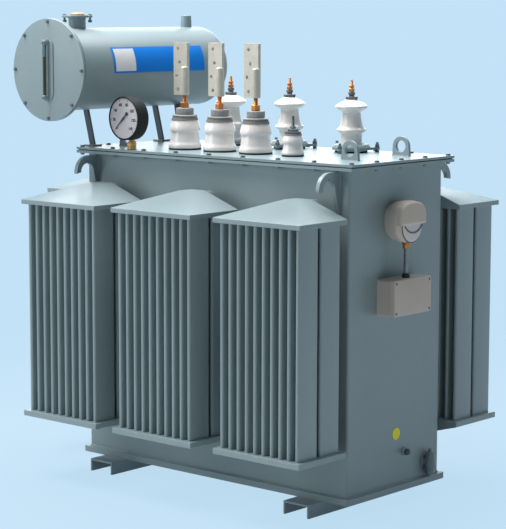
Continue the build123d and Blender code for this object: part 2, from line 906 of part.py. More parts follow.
save("tank_body", rounded_plate(tank_length, tank_depth, tank_height, tank_corner_radius, tank_bottom))
save("tank_flange", tank_flange())
save("cover_gasket", cover_gasket())
save("cover_plate", rounded_plate(cover_length, cover_depth, cover_thickness, cover_corner_radius, cover_bottom))
save("base_flange", rounded_plate(base_length, base_depth, base_thickness, base_corner_radius, base_bottom))
save("skid_left", skid(-skid_spacing / 2))
save("skid_right", skid(skid_spacing / 2))

radiator_headers = [top_header(), bottom_header()]
radiator_tubes = tubes()
for name, place in radiator_places().items():
    save(f"{name}_headers", *[place * piece for piece in radiator_headers])
    save(f"{name}_tubes", *[place * tube for tube in radiator_tubes])

hooks = mirrored_pair(lifting_hook(-hook_spacing / 2), Plane.XZ)
hooks += mirrored_pair(lifting_hook(hook_spacing / 2), Plane.XZ)
save("lifting_hooks", *hooks)
save("cover_lugs", *[cover_lug(place.position.X, place.position.Y) for place in
                     GridLocations(lug_spacing_x, lug_spacing_y, 2, 2)])

save("conservator_shell", conservator_shell())
save("conservator_cover", conservator_cover())
save("conservator_end", conservator_end())
save("conservator_legs", conservator_leg(leg_front_y), conservator_leg(leg_rear_y))
save("oil_pipe", oil_pipe())
save("oil_filler", oil_filler())
save("conservator_vent", conservator_vent())
save("sight_gauge_guard", sight_gauge_guard())
save("sight_glass", sight_glass())
save("dial_thermometer", dial_thermometer())
save("thermometer_pocket", thermometer_pocket())

save("bushing_gaskets", *bushing_gaskets())
save("lv_porcelain", *[lv_porcelain(x) for x in lv_row_x[:lv_count]])
save("lv_caps", *[lv_cap(x) for x in lv_row_x[:lv_count]])
save("lv_studs", *[lv_stud(x) for x in lv_row_x[:lv_count]])
save("lv_flags", *[lv_flag(x) for x in lv_row_x[:lv_count]])
save("neutral_porcelain", neutral_porcelain(lv_row_x[lv_count]))
save("neutral_terminal", neutral_terminal(lv_row_x[lv_count]))
save("hv_porcelain", *[hv_porcelain(x) for x in hv_row_x])
save("hv_clamps", *[hv_clamp(x) for x in hv_row_x])
save("hv_terminals", *[hv_terminal(x) for x in hv_row_x])

save("wall_relay", wall_relay())
save("relay_conduit", relay_conduit())
save("terminal_box", terminal_box())
save("earth_terminal", earth_terminal())
save("drain_valve", drain_valve())
print("centre_x", centre_x, "cover_top", cover_top, "flag_bottom", flag_bottom())
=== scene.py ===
# %% [markdown]
# # An oil-filled distribution transformer, finished in Blender
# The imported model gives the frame: every node at its real place, in metres. This lesson keeps the
# plain welded plates as they are and gives them paint, and it works out the rounded, turned and
# repeated pieces again as fine surfaces, each standing where its node stands.

from collections import namedtuple
from math import cos, pi, radians, sin

import bmesh
import bpy
import numpy as np
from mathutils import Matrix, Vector


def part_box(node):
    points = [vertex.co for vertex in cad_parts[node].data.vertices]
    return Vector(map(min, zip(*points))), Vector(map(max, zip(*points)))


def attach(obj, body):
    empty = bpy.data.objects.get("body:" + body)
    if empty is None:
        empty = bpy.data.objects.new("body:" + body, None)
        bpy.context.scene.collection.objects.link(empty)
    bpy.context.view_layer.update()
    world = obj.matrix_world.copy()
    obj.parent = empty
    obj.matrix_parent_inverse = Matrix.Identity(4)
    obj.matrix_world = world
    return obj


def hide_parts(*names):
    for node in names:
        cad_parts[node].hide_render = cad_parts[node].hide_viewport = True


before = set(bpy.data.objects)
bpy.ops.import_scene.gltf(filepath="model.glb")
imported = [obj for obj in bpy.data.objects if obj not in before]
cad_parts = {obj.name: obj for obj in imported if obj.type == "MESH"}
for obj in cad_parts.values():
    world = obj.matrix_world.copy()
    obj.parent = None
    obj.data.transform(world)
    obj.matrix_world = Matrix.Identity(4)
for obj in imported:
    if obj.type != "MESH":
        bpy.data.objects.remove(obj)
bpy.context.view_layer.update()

# %% [markdown]
# ## Shapes as arrays
# A form is three arrays: points, the corner numbers of all faces in a row, and how many corners each
# face has. Arrays join, repeat and turn without a loop over their points, and Blender takes them in
# one call. The directions are named, so that a piece can be laid along any of them.

# %% Forms, joining, repeating and laying
Form = namedtuple("Form", "points corners sizes")

RIGHT = np.array([1.0, 0.0, 0.0])
BACK = np.array([0.0, 1.0, 0.0])
UP = np.array([0.0, 0.0, 1.0])
ORIGIN = np.zeros((1, 3))


def joined(*forms):
    """One form from several: each form's corner numbers are raised by the points before it."""
    before = np.cumsum([0] + [len(form.points) for form in forms[:-1]])
    return Form(
        np.vstack([form.points for form in forms]),
        np.concatenate([form.corners + start for form, start in zip(forms, before)]),
        np.concatenate([form.sizes for form in forms]),
    )


def copied(form, places):
    """The form with its origin at each place: point + place."""
    places = np.asarray(places, float).reshape(-1, 3)
    points = (places[:, None] + form.points[None]).reshape(-1, 3)
    starts = np.arange(len(places))[:, None] * len(form.points)
    return Form(points, (starts + form.corners[None]).reshape(-1), np.tile(form.sizes, len(places)))


def lifted(form, height):
    """The form moved up by a height."""
    return copied(form, [[0, 0, height]])


def laid(form, x_along, y_along, z_along, places=ORIGIN):
    """The form with its axes laid along three directions: x · x_along + y · y_along + z · z_along."""
    basis = np.array([x_along, y_along, z_along], float)
    return copied(form._replace(points=form.points @ basis), places)


def on_circle(radius, count, start=0.0):
    """Places round a circle in the x-y plane: radius · (cos a, sin a, 0)."""
    a = start + np.arange(count) * 2 * pi / count
    return np.column_stack([radius * np.cos(a), radius * np.sin(a), np.zeros(count)])


# %% [markdown]
# ## Surfaces from two parameters
# A turned piece is a profile carried round an axis, a bar is an outline carried along a line, and a
# weld bead is a small circle carried along a path. All three are grids of points, so one function
# makes the quads. A profile's corners are rounded by short quadratic curves, because a sharp edge on
# a casting or on porcelain catches no light.

# %% Grids, profiles and outlines
def grid(points, wrap_u=False, wrap_v=False):
    """Quads over an array of points (copies, u, v, 3); a wrapped direction closes on itself."""
    points = points.reshape((-1,) + points.shape[-3:])
    copies, nu, nv = points.shape[:3]
    u, v = np.meshgrid(
        np.arange(nu if wrap_u else nu - 1), np.arange(nv if wrap_v else nv - 1), indexing="ij"
    )
    next_u, next_v = (u + 1) % nu, (v + 1) % nv
    cell = np.stack([u * nv + v, next_u * nv + v, next_u * nv + next_v, u * nv + next_v], -1).reshape(-1)
    corners = (np.arange(copies)[:, None] * nu * nv + cell[None]).reshape(-1)
    return Form(points.reshape(-1, 3), corners, np.full(len(corners) // 4, 4))


def rounded(corners, reach, steps=5):
    """A profile whose inner corners become curves (1-t)² A + 2t(1-t) P + t² B, A and B `reach` from P."""
    p = np.asarray(corners, float)
    back, ahead = p[:-2] - p[1:-1], p[2:] - p[1:-1]
    back_length = np.linalg.norm(back, axis=1, keepdims=True)
    ahead_length = np.linalg.norm(ahead, axis=1, keepdims=True)
    a = p[1:-1] + back / back_length * np.minimum(reach, back_length / 2)
    b = p[1:-1] + ahead / ahead_length * np.minimum(reach, ahead_length / 2)
    t = np.linspace(0, 1, steps)[None, :, None]
    arcs = (1 - t) ** 2 * a[:, None] + 2 * t * (1 - t) * p[1:-1][:, None] + t**2 * b[:, None]
    return np.vstack([p[:1], arcs.reshape(-1, p.shape[1]), p[-1:]])


def rounded_box(width, height, radius, steps=5):
    """The outline of a rectangle with quarter-circle corners: corner centre + radius · (cos a, sin a)."""
    a = np.linspace(0, pi / 2, steps)[None] + np.arange(4)[:, None] * pi / 2
    signs = np.array([[1, 1], [-1, 1], [-1, -1], [1, -1]])
    centres = signs * (width / 2 - radius, height / 2 - radius)
    return (centres[:, None] + radius * np.stack([np.cos(a), np.sin(a)], -1)).reshape(-1, 2)


def arc(centre, radius, start, end, steps=16):
    """Points on an arc between two angles in degrees: centre + radius · (cos a, sin a)."""
    a = np.radians(np.linspace(start, end, steps))
    return np.asarray(centre) + radius * np.column_stack([np.cos(a), np.sin(a)])


def turned(profile, places=ORIGIN, along=UP, segments=48):
    """A surface of revolution: place + r · (cos a · side + sin a · other) + h · along."""
    r, h = np.asarray(profile, float).T
    side = np.cross(along, BACK if abs(along[1]) < 0.9 else UP)
    side /= np.linalg.norm(side)
    a = np.arange(segments) * 2 * pi / segments
    ring = np.cos(a)[:, None] * side + np.sin(a)[:, None] * np.cross(along, side)
    points = ring[:, None] * r[None, :, None] + h[None, :, None] * along
    return grid(np.asarray(places, float).reshape(-1, 1, 1, 3) + points, wrap_u=True)


def lathe(corners, reach, steps=4, places=ORIGIN, along=UP, segments=48):
    """A turned piece whose profile has its corners rounded first."""
    return turned(rounded(corners, reach, steps), places, along, segments)


def rod(radius, low, high):
    """The profile of a plain cylinder between two heights."""
    return [(0, low), (radius, low), (radius, high), (0, high)]


def sleeve(inner, outer, low, high):
    """The closed profile of a ring between two radii and two heights."""
    return [(inner, low), (outer, low), (outer, high), (inner, high), (inner, low)]


def tower(loops, places=ORIGIN):
    """A closed form through a stack of outlines (levels, n, 3), with a flat cap at each end."""
    levels, n = loops.shape[:2]
    side = grid(loops, wrap_v=True)
    caps = np.concatenate([np.arange(n)[::-1], np.arange(n) + (levels - 1) * n])
    form = Form(side.points, np.concatenate([side.corners, caps]), np.append(side.sizes, [n, n]))
    return copied(form, places)


def raised(outline, heights, insets=None):
    """A tower over one flat outline: at each height it is drawn in about its middle by an inset."""
    outline = np.asarray(outline, float)
    insets = np.zeros(len(heights)) if insets is None else np.asarray(insets, float)
    middle = (outline.max(0) + outline.min(0)) / 2
    half = (outline.max(0) - outline.min(0)) / 2
    scale = 1 - insets[:, None, None] / half
    flat = middle + (outline - middle)[None] * scale
    level = np.broadcast_to(np.asarray(heights, float)[:, None, None], flat.shape[:2] + (1,))
    return tower(np.concatenate([flat, level], -1))


def bead(path, radius, ripple=0.12, closed=True, around=8, pitch=0.006):
    """A weld: a circle of radius r (1 + ripple · cos(2π s / pitch)) carried along a path."""
    path = np.asarray(path, float)
    ahead = np.roll(path, -1, 0) - path
    if not closed:
        ahead[-1] = ahead[-2]
    length = np.linalg.norm(ahead, axis=1, keepdims=True)
    ahead = ahead / length
    travelled = np.concatenate([[0], np.cumsum(length[:-1, 0])])
    side = np.cross(ahead, UP)
    flat = np.linalg.norm(side, axis=1) < 0.2
    side[flat] = np.cross(ahead[flat], RIGHT)
    side /= np.linalg.norm(side, axis=1, keepdims=True)
    a = np.arange(around) * 2 * pi / around
    swell = radius * (1 + ripple * np.cos(2 * pi * travelled / pitch))[:, None, None]
    other = np.cross(side, ahead)
    ring = np.cos(a)[None, :, None] * side[:, None] + np.sin(a)[None, :, None] * other[:, None]
    return grid(path[:, None] + swell * ring, wrap_u=closed, wrap_v=True)


def hexagon(across):
    """The six corners of a nut that measures `across` between its flats."""
    return on_circle(across / 2 / cos(pi / 6), 6)[:, :2]


def nut(across, height):
    """A hexagon with its upper and lower corners worn back."""
    chamfer = 0.12 * height
    worn = 0.06 * across
    return raised(hexagon(across), [0, chamfer, height - chamfer, height], [worn, 0, 0, worn])


WASHER_THICK, THREAD_PITCH = 0.0018, 0.0018


def screw(across, washer_radius, thread_radius, thread_length, head_share=0.45):
    """A hexagon head on its washer, with the rest of the thread below it."""
    head = lifted(nut(across, head_share * across), WASHER_THICK)
    ring = lathe(rod(washer_radius, 0, WASHER_THICK), 0.0004, 3, segments=20)
    turns = np.linspace(0, thread_length, 2 * max(2, int(thread_length / THREAD_PITCH)))
    crest = thread_radius * (1 - 0.1 * (np.arange(len(turns)) % 2))
    thread = turned(np.column_stack([np.r_[0, crest, 0], -np.r_[0, turns, thread_length]]), segments=16)
    return joined(head, ring, thread)


def form_of(curve):
    """A Blender curve or a piece of writing filled and made into a form."""
    holder = bpy.data.objects.new("curve", curve)
    bpy.context.scene.collection.objects.link(holder)
    bpy.context.view_layer.update()
    mesh = bpy.data.meshes.new_from_object(holder)
    points = np.zeros(len(mesh.vertices) * 3)
    mesh.vertices.foreach_get("co", points)
    corners = np.zeros(len(mesh.loops), int)
    mesh.loops.foreach_get("vertex_index", corners)
    sizes = np.zeros(len(mesh.polygons), int)
    mesh.polygons.foreach_get("loop_total", sizes)
    bpy.data.objects.remove(holder)
    bpy.data.curves.remove(curve)
    bpy.data.meshes.remove(mesh)
    return Form(points.reshape(-1, 3), corners, sizes)


def cut_plate(outlines, thickness):
    """A flat plate with holes, lying about z = 0: the first outline is its rim, the rest are holes."""
    curve = bpy.data.curves.new("plate", "CURVE")
    curve.dimensions = "2D"
    curve.fill_mode = "BOTH"
    curve.extrude = thickness / 2
    for outline in outlines:
        spline = curve.splines.new("POLY")
        spline.points.add(len(outline) - 1)
        flat = np.column_stack([outline, np.zeros(len(outline)), np.ones(len(outline))])
        spline.points.foreach_set("co", flat.ravel())
        spline.use_cyclic_u = True
    return form_of(curve)


def hole(centre, radius, steps=24):
    """A round hole's outline, run the other way from the rim."""
    return arc(centre, radius, 360, 360 / steps, steps)


# %% [markdown]
# ## Shader maths in plain Python
# A `Wire` wraps one output of a node, and its + and × add Math nodes, so a pattern reads like a
# formula. A `Finish` is one material. Its `node` method sets a node's settings first and then its
# inputs, and hands back the output that is asked for. What is the same all over a surface is set on
# the shader's own socket.

# %% Wires and finishes
class Wire:
    """One output of a shader node; arithmetic on it adds Math nodes."""

    def __init__(self, finish, socket):
        self.finish = finish
        self.socket = socket

    def maths(self, operation, *values):
        return self.finish.node("Math", settings={"operation": operation}, values=values)

    def __add__(self, other):
        return self.maths("ADD", self, other)

    def __mul__(self, other):
        return self.maths("MULTIPLY", self, other)

    def over(self, level):
        return self.maths("GREATER_THAN", self, level)

    __rmul__ = __mul__


class Finish:
    """One material: a principled shader whose changing inputs come from formulas."""

    def __init__(self, name, colour, roughness, metallic=0.0, **sockets):
        self.material = bpy.data.materials.new(name)
        self.material.use_nodes = True
        self.tree = self.material.node_tree
        self.shader = self.tree.nodes["Principled BSDF"]
        self.place = self.node("TexCoord", output="Object")
        self.colour = (*colour, 1.0)
        for label, value in {
            "Base Color": self.colour, "Roughness": roughness, "Metallic": metallic, **sockets
        }.items():
            self.shader.inputs[label].default_value = value

    def node(self, kind, output=0, settings=None, values=(), **inputs):
        """Adds a node: its settings, then its inputs by place or by name, then one output as a Wire."""
        made = self.tree.nodes.new("ShaderNode" + kind)
        for setting, value in (settings or {}).items():
            setattr(made, setting, value)
        for socket, value in zip(made.inputs, values):
            self.plug(socket, value)
        for label, value in inputs.items():
            self.plug(made.inputs[label.replace("_", " ")], value)
        return Wire(self, made.outputs[output])

    def plug(self, socket, value):
        if isinstance(value, Wire):
            self.tree.links.new(value.socket, socket)
        else:
            socket.default_value = value

    def feed(self, label, value):
        self.plug(self.shader.inputs[label], value)

    def noise(self, scale, detail=3.0, stretch=(1, 1, 1), roughness=0.5):
        place = self.node("Mapping", Vector=self.place, Scale=stretch)
        return self.node("TexNoise", Vector=place, Scale=scale, Detail=detail, Roughness=roughness)

    def spread(self, value, low, high, to_low=0.0, to_high=1.0):
        """The value between low and high drawn out to the new range, and held there."""
        return self.node("MapRange", values=(value, low, high, to_low, to_high))

    def tint(self, factor, first, second):
        """A colour between two colours."""
        mix = self.tree.nodes.new("ShaderNodeMix")
        mix.data_type = "RGBA"
        for socket, value in zip((mix.inputs[0], mix.inputs[6], mix.inputs[7]), (factor, first, second)):
            self.plug(socket, value)
        return Wire(self, mix.outputs[2])

    def bump(self, height, distance, strength=1.0):
        normal = self.node("Bump", Height=height, Distance=distance, Strength=strength)
        self.feed("Normal", normal)


def shade(colour, factor):
    """The same colour, lighter or darker, as a socket value."""
    return (*[min(1.0, channel * factor) for channel in colour], 1.0)


# %% [markdown]
# ## Paint
# The tank, its radiators and its fittings carry one coat of blue-grey enamel over welded steel. Sprayed
# enamel is satin, with an orange-peel skin that shows in the highlights, and it is a little thinner
# and duller in broad drifts. The pattern reads Object coordinates, which are metres here, so a scale
# of 260 gives dimples about four millimetres across.

# %% Enamel finishes
ENAMEL = (0.240, 0.315, 0.335)
DARK_ENAMEL = (0.045, 0.055, 0.062)
# Painted shade: the bolts wear the tank's own enamel, and this darker copy of it stands for the shade on
# them.
SHADED_BOLT_ENAMEL = (0.095, 0.128, 0.138)
VALVE_ENAMEL = (0.150, 0.200, 0.215)


def enamel(name, colour, roughness, peel=0.00006):
    """Satin sprayed enamel: drifts of tone and sheen, and an orange-peel skin."""
    paint = Finish(name, colour, roughness, **{"Coat Weight": 0.25, "Coat Roughness": 0.22, "IOR": 1.5})
    drift = paint.noise(2.3, detail=4)
    speck = paint.noise(70, detail=2)
    tone = paint.spread(drift + 0.25 * speck, 0.35, 0.9)
    paint.feed("Base Color", paint.tint(tone, shade(colour, 0.93), shade(colour, 1.07)))
    paint.feed("Roughness", paint.spread(drift, 0.3, 0.7, roughness - 0.05, roughness + 0.06))
    paint.bump(paint.noise(260, detail=1), peel)
    return paint.material


body_enamel = enamel("body_enamel", ENAMEL, 0.40)
dark_enamel = enamel("dark_enamel", DARK_ENAMEL, 0.45)
# Painted shade on the bolts of the lid, the drum's cover and the gauge: a darker copy of the body enamel.
shaded_bolt_enamel = enamel("shaded_bolt_enamel", SHADED_BOLT_ENAMEL, 0.45)
valve_enamel = enamel("valve_enamel", VALVE_ENAMEL, 0.45)

# %% [markdown]
# ## Metals, rubber and cork
# Tinned terminals are cream-white and drawn lengthwise, so their fine scratches run upright: a noise
# squeezed across and stretched along Z does that. Copper is warm and slightly browned. Zinc plate is
# grey and mottled. Rubber and the cork joint are matt and nearly black, and a dark grey copy of the
# rubber is painted shade under the low-voltage washers.

# %% Metal and joint finishes
def drawn_metal(name, colour, roughness, metallic, tarnish, grain=(420, 420, 12), depth=0.00005):
    """Metal with a fine grain and patches of tarnish."""
    metal = Finish(name, colour, roughness, metallic)
    patch = metal.noise(38, detail=5, roughness=0.65)
    scratch = metal.noise(1.0, detail=2, stretch=grain)
    age = metal.spread(patch, 0.42, 0.72)
    metal.feed("Base Color", metal.tint(age, shade(colour, 1.0), (*tarnish, 1.0)))
    metal.feed("Roughness", metal.spread(scratch + 0.4 * age, 0.3, 1.0, roughness - 0.08, roughness + 0.14))
    metal.bump(scratch, depth)
    return metal.material


tinned_metal = drawn_metal("tinned_metal", (0.62, 0.585, 0.505), 0.42, 0.15, (0.54, 0.505, 0.43))
copper = drawn_metal("copper", (0.60, 0.215, 0.055), 0.34, 0.75, (0.36, 0.13, 0.04))
pale_copper = drawn_metal("pale_copper", (0.58, 0.33, 0.19), 0.5, 0.3, (0.44, 0.24, 0.13))
brass = drawn_metal("brass", (0.66, 0.36, 0.13), 0.32, 0.8, (0.45, 0.24, 0.09))
zinc_plate = drawn_metal("zinc_plate", (0.17, 0.18, 0.18), 0.42, 0.7, (0.09, 0.10, 0.10))
cast_grey = drawn_metal("cast_grey", (0.36, 0.355, 0.345), 0.50, 0.2, (0.26, 0.255, 0.25), (90, 90, 90))
dark_cast = drawn_metal("dark_cast", (0.17, 0.17, 0.165), 0.5, 0.3, (0.10, 0.10, 0.10), (90, 90, 90))
conduit_steel = drawn_metal("conduit_steel", (0.34, 0.33, 0.32), 0.36, 0.8, (0.2, 0.19, 0.19))


def soft_joint(name, colour, grain):
    """Matt rubber or cork with a crumbly surface."""
    joint = Finish(name, colour, 0.75)
    crumb = joint.noise(grain, detail=4, roughness=0.7)
    joint.feed("Base Color", joint.tint(crumb, shade(colour, 0.7), shade(colour, 1.5)))
    joint.feed("Roughness", joint.spread(crumb, 0.3, 0.7, 0.68, 0.86))
    joint.bump(crumb, 0.0003)
    return joint.material


black_rubber = soft_joint("black_rubber", (0.018, 0.018, 0.019), 320)
# Painted shade: this dark grey lies on the cones under the washers, where the porcelain is in their shade.
shade_cone_grey = soft_joint("shade_cone_grey", (0.135, 0.132, 0.128), 320)
cork = soft_joint("cork", (0.045, 0.038, 0.032), 500)

# %% [markdown]
# ## Porcelain, glass and housings
# White insulator glaze is a hard clear skin over a body that is not quite even: the coat carries the
# sharp highlight and the base stays softer. The relay and its box are cast housings in taupe paint.

# %% Porcelain, housing and glass finishes
def glazed(name, colour):
    """White glaze, with faint cream drifts and a very slight waviness."""
    glaze = Finish(name, colour, 0.22, **{"Coat Weight": 0.6, "Coat Roughness": 0.06, "IOR": 1.52})
    drift = glaze.noise(16, detail=3)
    glaze.feed("Base Color", glaze.tint(drift, shade(colour, 0.95), shade(colour, 1.03)))
    glaze.feed("Roughness", glaze.spread(drift, 0.3, 0.7, 0.18, 0.28))
    glaze.bump(glaze.noise(45, detail=1), 0.00015)
    return glaze.material


def housing_paint(name, colour, roughness, pimple=0.00012, **sockets):
    """Textured housing paint or moulded plastic: fine even pimples."""
    coat = Finish(name, colour, roughness, **sockets)
    pimples = coat.noise(900, detail=1)
    drift = coat.noise(9, detail=3)
    coat.feed("Base Color", coat.tint(drift, shade(colour, 0.94), shade(colour, 1.06)))
    coat.feed("Roughness", coat.spread(pimples, 0.3, 0.7, roughness - 0.05, roughness + 0.08))
    coat.bump(pimples, pimple)
    return coat.material


white_glaze = glazed("white_glaze", (0.87, 0.82, 0.79))
taupe_housing = housing_paint("taupe_housing", (0.540, 0.488, 0.430), 0.5)
black_case = housing_paint("black_case", (0.014, 0.014, 0.013), 0.55, **{"Specular IOR Level": 0.22})
dial_white = housing_paint("dial_white", (0.72, 0.69, 0.72), 0.5, 0.00001)
dial_black = housing_paint("dial_black", (0.012, 0.012, 0.013), 0.5, 0.00001)
window_grey = housing_paint("window_grey", (0.66, 0.64, 0.63), 0.4, 0.00002)
window_dark = housing_paint("window_dark", (0.11, 0.105, 0.10), 0.4, 0.00002)
blue_panel = housing_paint("blue_panel", (0.004, 0.235, 0.84), 0.6, 0.00001, **{"Specular IOR Level": 0.2})
white_panel = housing_paint("white_panel", (0.84, 0.86, 0.89), 0.6, 0.00001)
yellow_enamel = housing_paint("yellow_enamel", (0.93, 0.88, 0.03), 0.5, 0.00002)
oil = housing_paint("oil", (0.21, 0.185, 0.055), 0.2, 0.00001)


def clear_pane(name, tone, least, most):
    """Thin clear glass: mostly transparent, with a glossy share that grows towards its edges."""
    pane = Finish(name, (0.02, 0.02, 0.02), 0.05)
    tree = pane.tree
    clear = tree.nodes.new("ShaderNodeBsdfTransparent")
    clear.inputs["Color"].default_value = (*tone, 1.0)
    ripple = pane.noise(60, detail=1)
    pane.feed("Roughness", pane.spread(ripple, 0.3, 0.7, 0.03, 0.07))
    edge = pane.node("LayerWeight", output="Facing", Blend=0.35)
    share = pane.spread(edge, 0.0, 1.0, least, most)
    mix = tree.nodes.new("ShaderNodeMixShader")
    pane.plug(mix.inputs[0], share)
    tree.links.new(clear.outputs[0], mix.inputs[1])
    tree.links.new(pane.shader.outputs[0], mix.inputs[2])
    tree.links.new(mix.outputs[0], tree.nodes["Material Output"].inputs["Surface"])
    return pane.material


clear_glass = clear_pane("clear_glass", (0.86, 0.92, 0.92), 0.06, 0.55)
dial_glass = clear_pane("dial_glass", (0.985, 0.985, 0.985), 0.01, 0.12)
print("finishes", len(bpy.data.materials))

# %% [markdown]
# ## Putting a form into the scene
# One function makes the mesh object, merges the points that meet at seams and poles, turns every shell
# outwards and shades it smooth up to a given angle. The piece rides on the one body of this fixed
# plant, and may stand for nodes of the imported model.

# %% Make one piece
made = {}


def piece(name, form, material, slot, stands_for=(), rounding=0.0, sharp=38):
    """A finished mesh object from a form, riding on the frame."""
    mesh = bpy.data.meshes.new(name)
    mesh.vertices.add(len(form.points))
    mesh.vertices.foreach_set("co", form.points.ravel())
    mesh.loops.add(len(form.corners))
    mesh.loops.foreach_set("vertex_index", form.corners.astype(np.int32))
    mesh.polygons.add(len(form.sizes))
    mesh.polygons.foreach_set("loop_start", (np.cumsum(form.sizes) - form.sizes).astype(np.int32))
    mesh.update(calc_edges=True)
    work = bmesh.new()
    work.from_mesh(mesh)
    bmesh.ops.remove_doubles(work, verts=work.verts, dist=1e-6)
    bmesh.ops.dissolve_degenerate(work, edges=work.edges, dist=1e-7)
    bmesh.ops.recalc_face_normals(work, faces=work.faces)
    work.to_mesh(mesh)
    work.free()
    mesh.shade_smooth()
    mesh.materials.append(material)
    made_object = bpy.data.objects.new(name, mesh)
    bpy.context.scene.collection.objects.link(made_object)
    if rounding:
        bevel = made_object.modifiers.new("edges", "BEVEL")
        bevel.width = rounding
        bevel.segments = 2
        bevel.limit_method = "ANGLE"
        bevel.angle_limit = radians(35)
        bevel.harden_normals = True
    else:
        mesh.set_sharp_from_angle(angle=radians(sharp))
    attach(made_object, "root")
    if stands_for:
        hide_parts(*stands_for)
    made[name] = len(mesh.polygons)
    print(name, made[name], "faces")
    return made_object


def painted(name, form, stands_for=(), **options):
    """A piece in the tank's own paint."""
    return piece(name, form, body_enamel, "tank_paint", stands_for, **options)


def paint_node(material, *nodes):
    """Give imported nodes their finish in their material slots."""
    for node in nodes:
        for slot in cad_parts[node].material_slots:
            slot.material = material


def middle(node):
    """The middle of a node's box."""
    low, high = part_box(node)
    return (np.array(low) + np.array(high)) / 2


def row_places(node, radius, level):
    """The upright axes of three like pieces in one node, first to last along X, on a level."""
    low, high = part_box(node)
    x = np.linspace(low.x + radius, high.x - radius, 3)
    return np.column_stack([x, np.full(3, (low.y + high.y) / 2), np.full(3, level)])


# %% [markdown]
# ## Camera and studio
# The camera stands where the photograph's did: its height, bearing and lens came from lining up the
# lid, the base and the radiators. The picture's optical centre is off its middle, which the shift
# gives. The floor and the background are the same pale blue. The floor mixes its lit colour with a
# plain glow for camera rays, so it keeps the shadow without a visible horizon. Two large lamps hang
# above, a third stands at the left and a fourth behind: their powers follow the photograph's shading.

# %% Camera
LONG_SIDE = 529
FOCAL_PIXELS = 1939.6
OPTICAL_CENTRE = (222.76, 256.10)
PICTURE_MIDDLE = (253.0, 264.5)
BEARING, ELEVATION = 41.80, 7.28
CAMERA_PLACE = (4.2272, -4.7956, 1.5474)

lens = bpy.data.cameras.new("camera")
lens.sensor_width = 36.0
lens.lens = FOCAL_PIXELS * lens.sensor_width / LONG_SIDE
lens.shift_x = (PICTURE_MIDDLE[0] - OPTICAL_CENTRE[0]) / LONG_SIDE
lens.shift_y = (OPTICAL_CENTRE[1] - PICTURE_MIDDLE[1]) / LONG_SIDE
lens.clip_end = 200.0
camera = bpy.data.objects.new("camera", lens)
a, e = radians(BEARING), radians(ELEVATION)
to_camera = Vector((sin(a) * cos(e), -cos(a) * cos(e), sin(e)))
camera.location = CAMERA_PLACE
camera.rotation_mode = "QUATERNION"
camera.rotation_quaternion = to_camera.to_track_quat("Z", "Y")
bpy.context.scene.collection.objects.link(camera)
bpy.context.scene.camera = camera
bpy.context.scene.view_settings.view_transform = "Standard"
print("lens", round(lens.lens, 2), "shift", round(lens.shift_x, 4), round(lens.shift_y, 4))

# %% Floor, background and lamps
SKY = (0.546, 0.760, 0.930)
DAYLIGHT = (0.84, 0.85, 0.86)
FLOOR_TONE = (0.66, 0.69, 0.72)
AMBIENT = 0.14
FLOOR_RADIUS, FLOOR_STEPS = 60.0, 96
FLOOR_GLOW = 0.92
SHADOW_REACH = (1.2, 3.0)
AIM = Vector((0.1, 0.0, 0.8))


def seen_directly(tree):
    """1 for rays that reach the eye straight, in a mirror or through glass."""
    rays = tree.nodes.new("ShaderNodeLightPath")
    total = rays.outputs["Is Camera Ray"]
    for label in ("Is Glossy Ray", "Is Transmission Ray"):
        adding = tree.nodes.new("ShaderNodeMath")
        adding.operation = "MAXIMUM"
        tree.links.new(total, adding.inputs[0])
        tree.links.new(rays.outputs[label], adding.inputs[1])
        total = adding.outputs[0]
    return total


world = bpy.data.worlds.new("studio")
world.use_nodes = True
bpy.context.scene.world = world
sky_tree = world.node_tree
sky_colour = sky_tree.nodes.new("ShaderNodeMix")
sky_colour.data_type = "RGBA"
sky_colour.inputs[6].default_value = (*[AMBIENT * channel for channel in DAYLIGHT], 1.0)
sky_colour.inputs[7].default_value = (*SKY, 1.0)
sky_tree.links.new(seen_directly(sky_tree), sky_colour.inputs[0])
sky_tree.links.new(sky_colour.outputs[2], sky_tree.nodes["Background"].inputs["Color"])

floor_rim = on_circle(FLOOR_RADIUS, FLOOR_STEPS)
floor_mesh = bpy.data.meshes.new("floor")
floor_mesh.from_pydata(floor_rim.tolist(), [], [list(range(FLOOR_STEPS))])
floor = bpy.data.objects.new("floor", floor_mesh)
bpy.context.scene.collection.objects.link(floor)
floor_finish = Finish("floor", FLOOR_TONE, 0.9)
floor_tree = floor_finish.tree
glow = floor_tree.nodes.new("ShaderNodeEmission")
glow.inputs["Color"].default_value = (*SKY, 1.0)
blend = floor_tree.nodes.new("ShaderNodeMixShader")
away = floor_finish.node(
    "VectorMath", output="Value", settings={"operation": "LENGTH"}, values=[floor_finish.place]
)
glow_share = floor_finish.spread(away, *SHADOW_REACH, FLOOR_GLOW, 1.0)
share = glow_share * Wire(floor_finish, seen_directly(floor_tree))
floor_finish.plug(blend.inputs[0], share)
floor_tree.links.new(floor_finish.shader.outputs[0], blend.inputs[1])
floor_tree.links.new(glow.outputs[0], blend.inputs[2])
floor_tree.links.new(blend.outputs[0], floor_tree.nodes["Material Output"].inputs["Surface"])
floor_mesh.materials.append(floor_finish.material)


def softbox(name, place, size, power):
    """A square studio lamp of that size in metres, turned to face the tank."""
    lamp = bpy.data.lights.new(name, "AREA")
    lamp.shape = "SQUARE"
    lamp.size = size
    lamp.energy = power
    holder = bpy.data.objects.new(name, lamp)
    holder.location = place
    holder.rotation_mode = "QUATERNION"
    holder.rotation_quaternion = (Vector(place) - AIM).to_track_quat("Z", "Y")
    bpy.context.scene.collection.objects.link(holder)


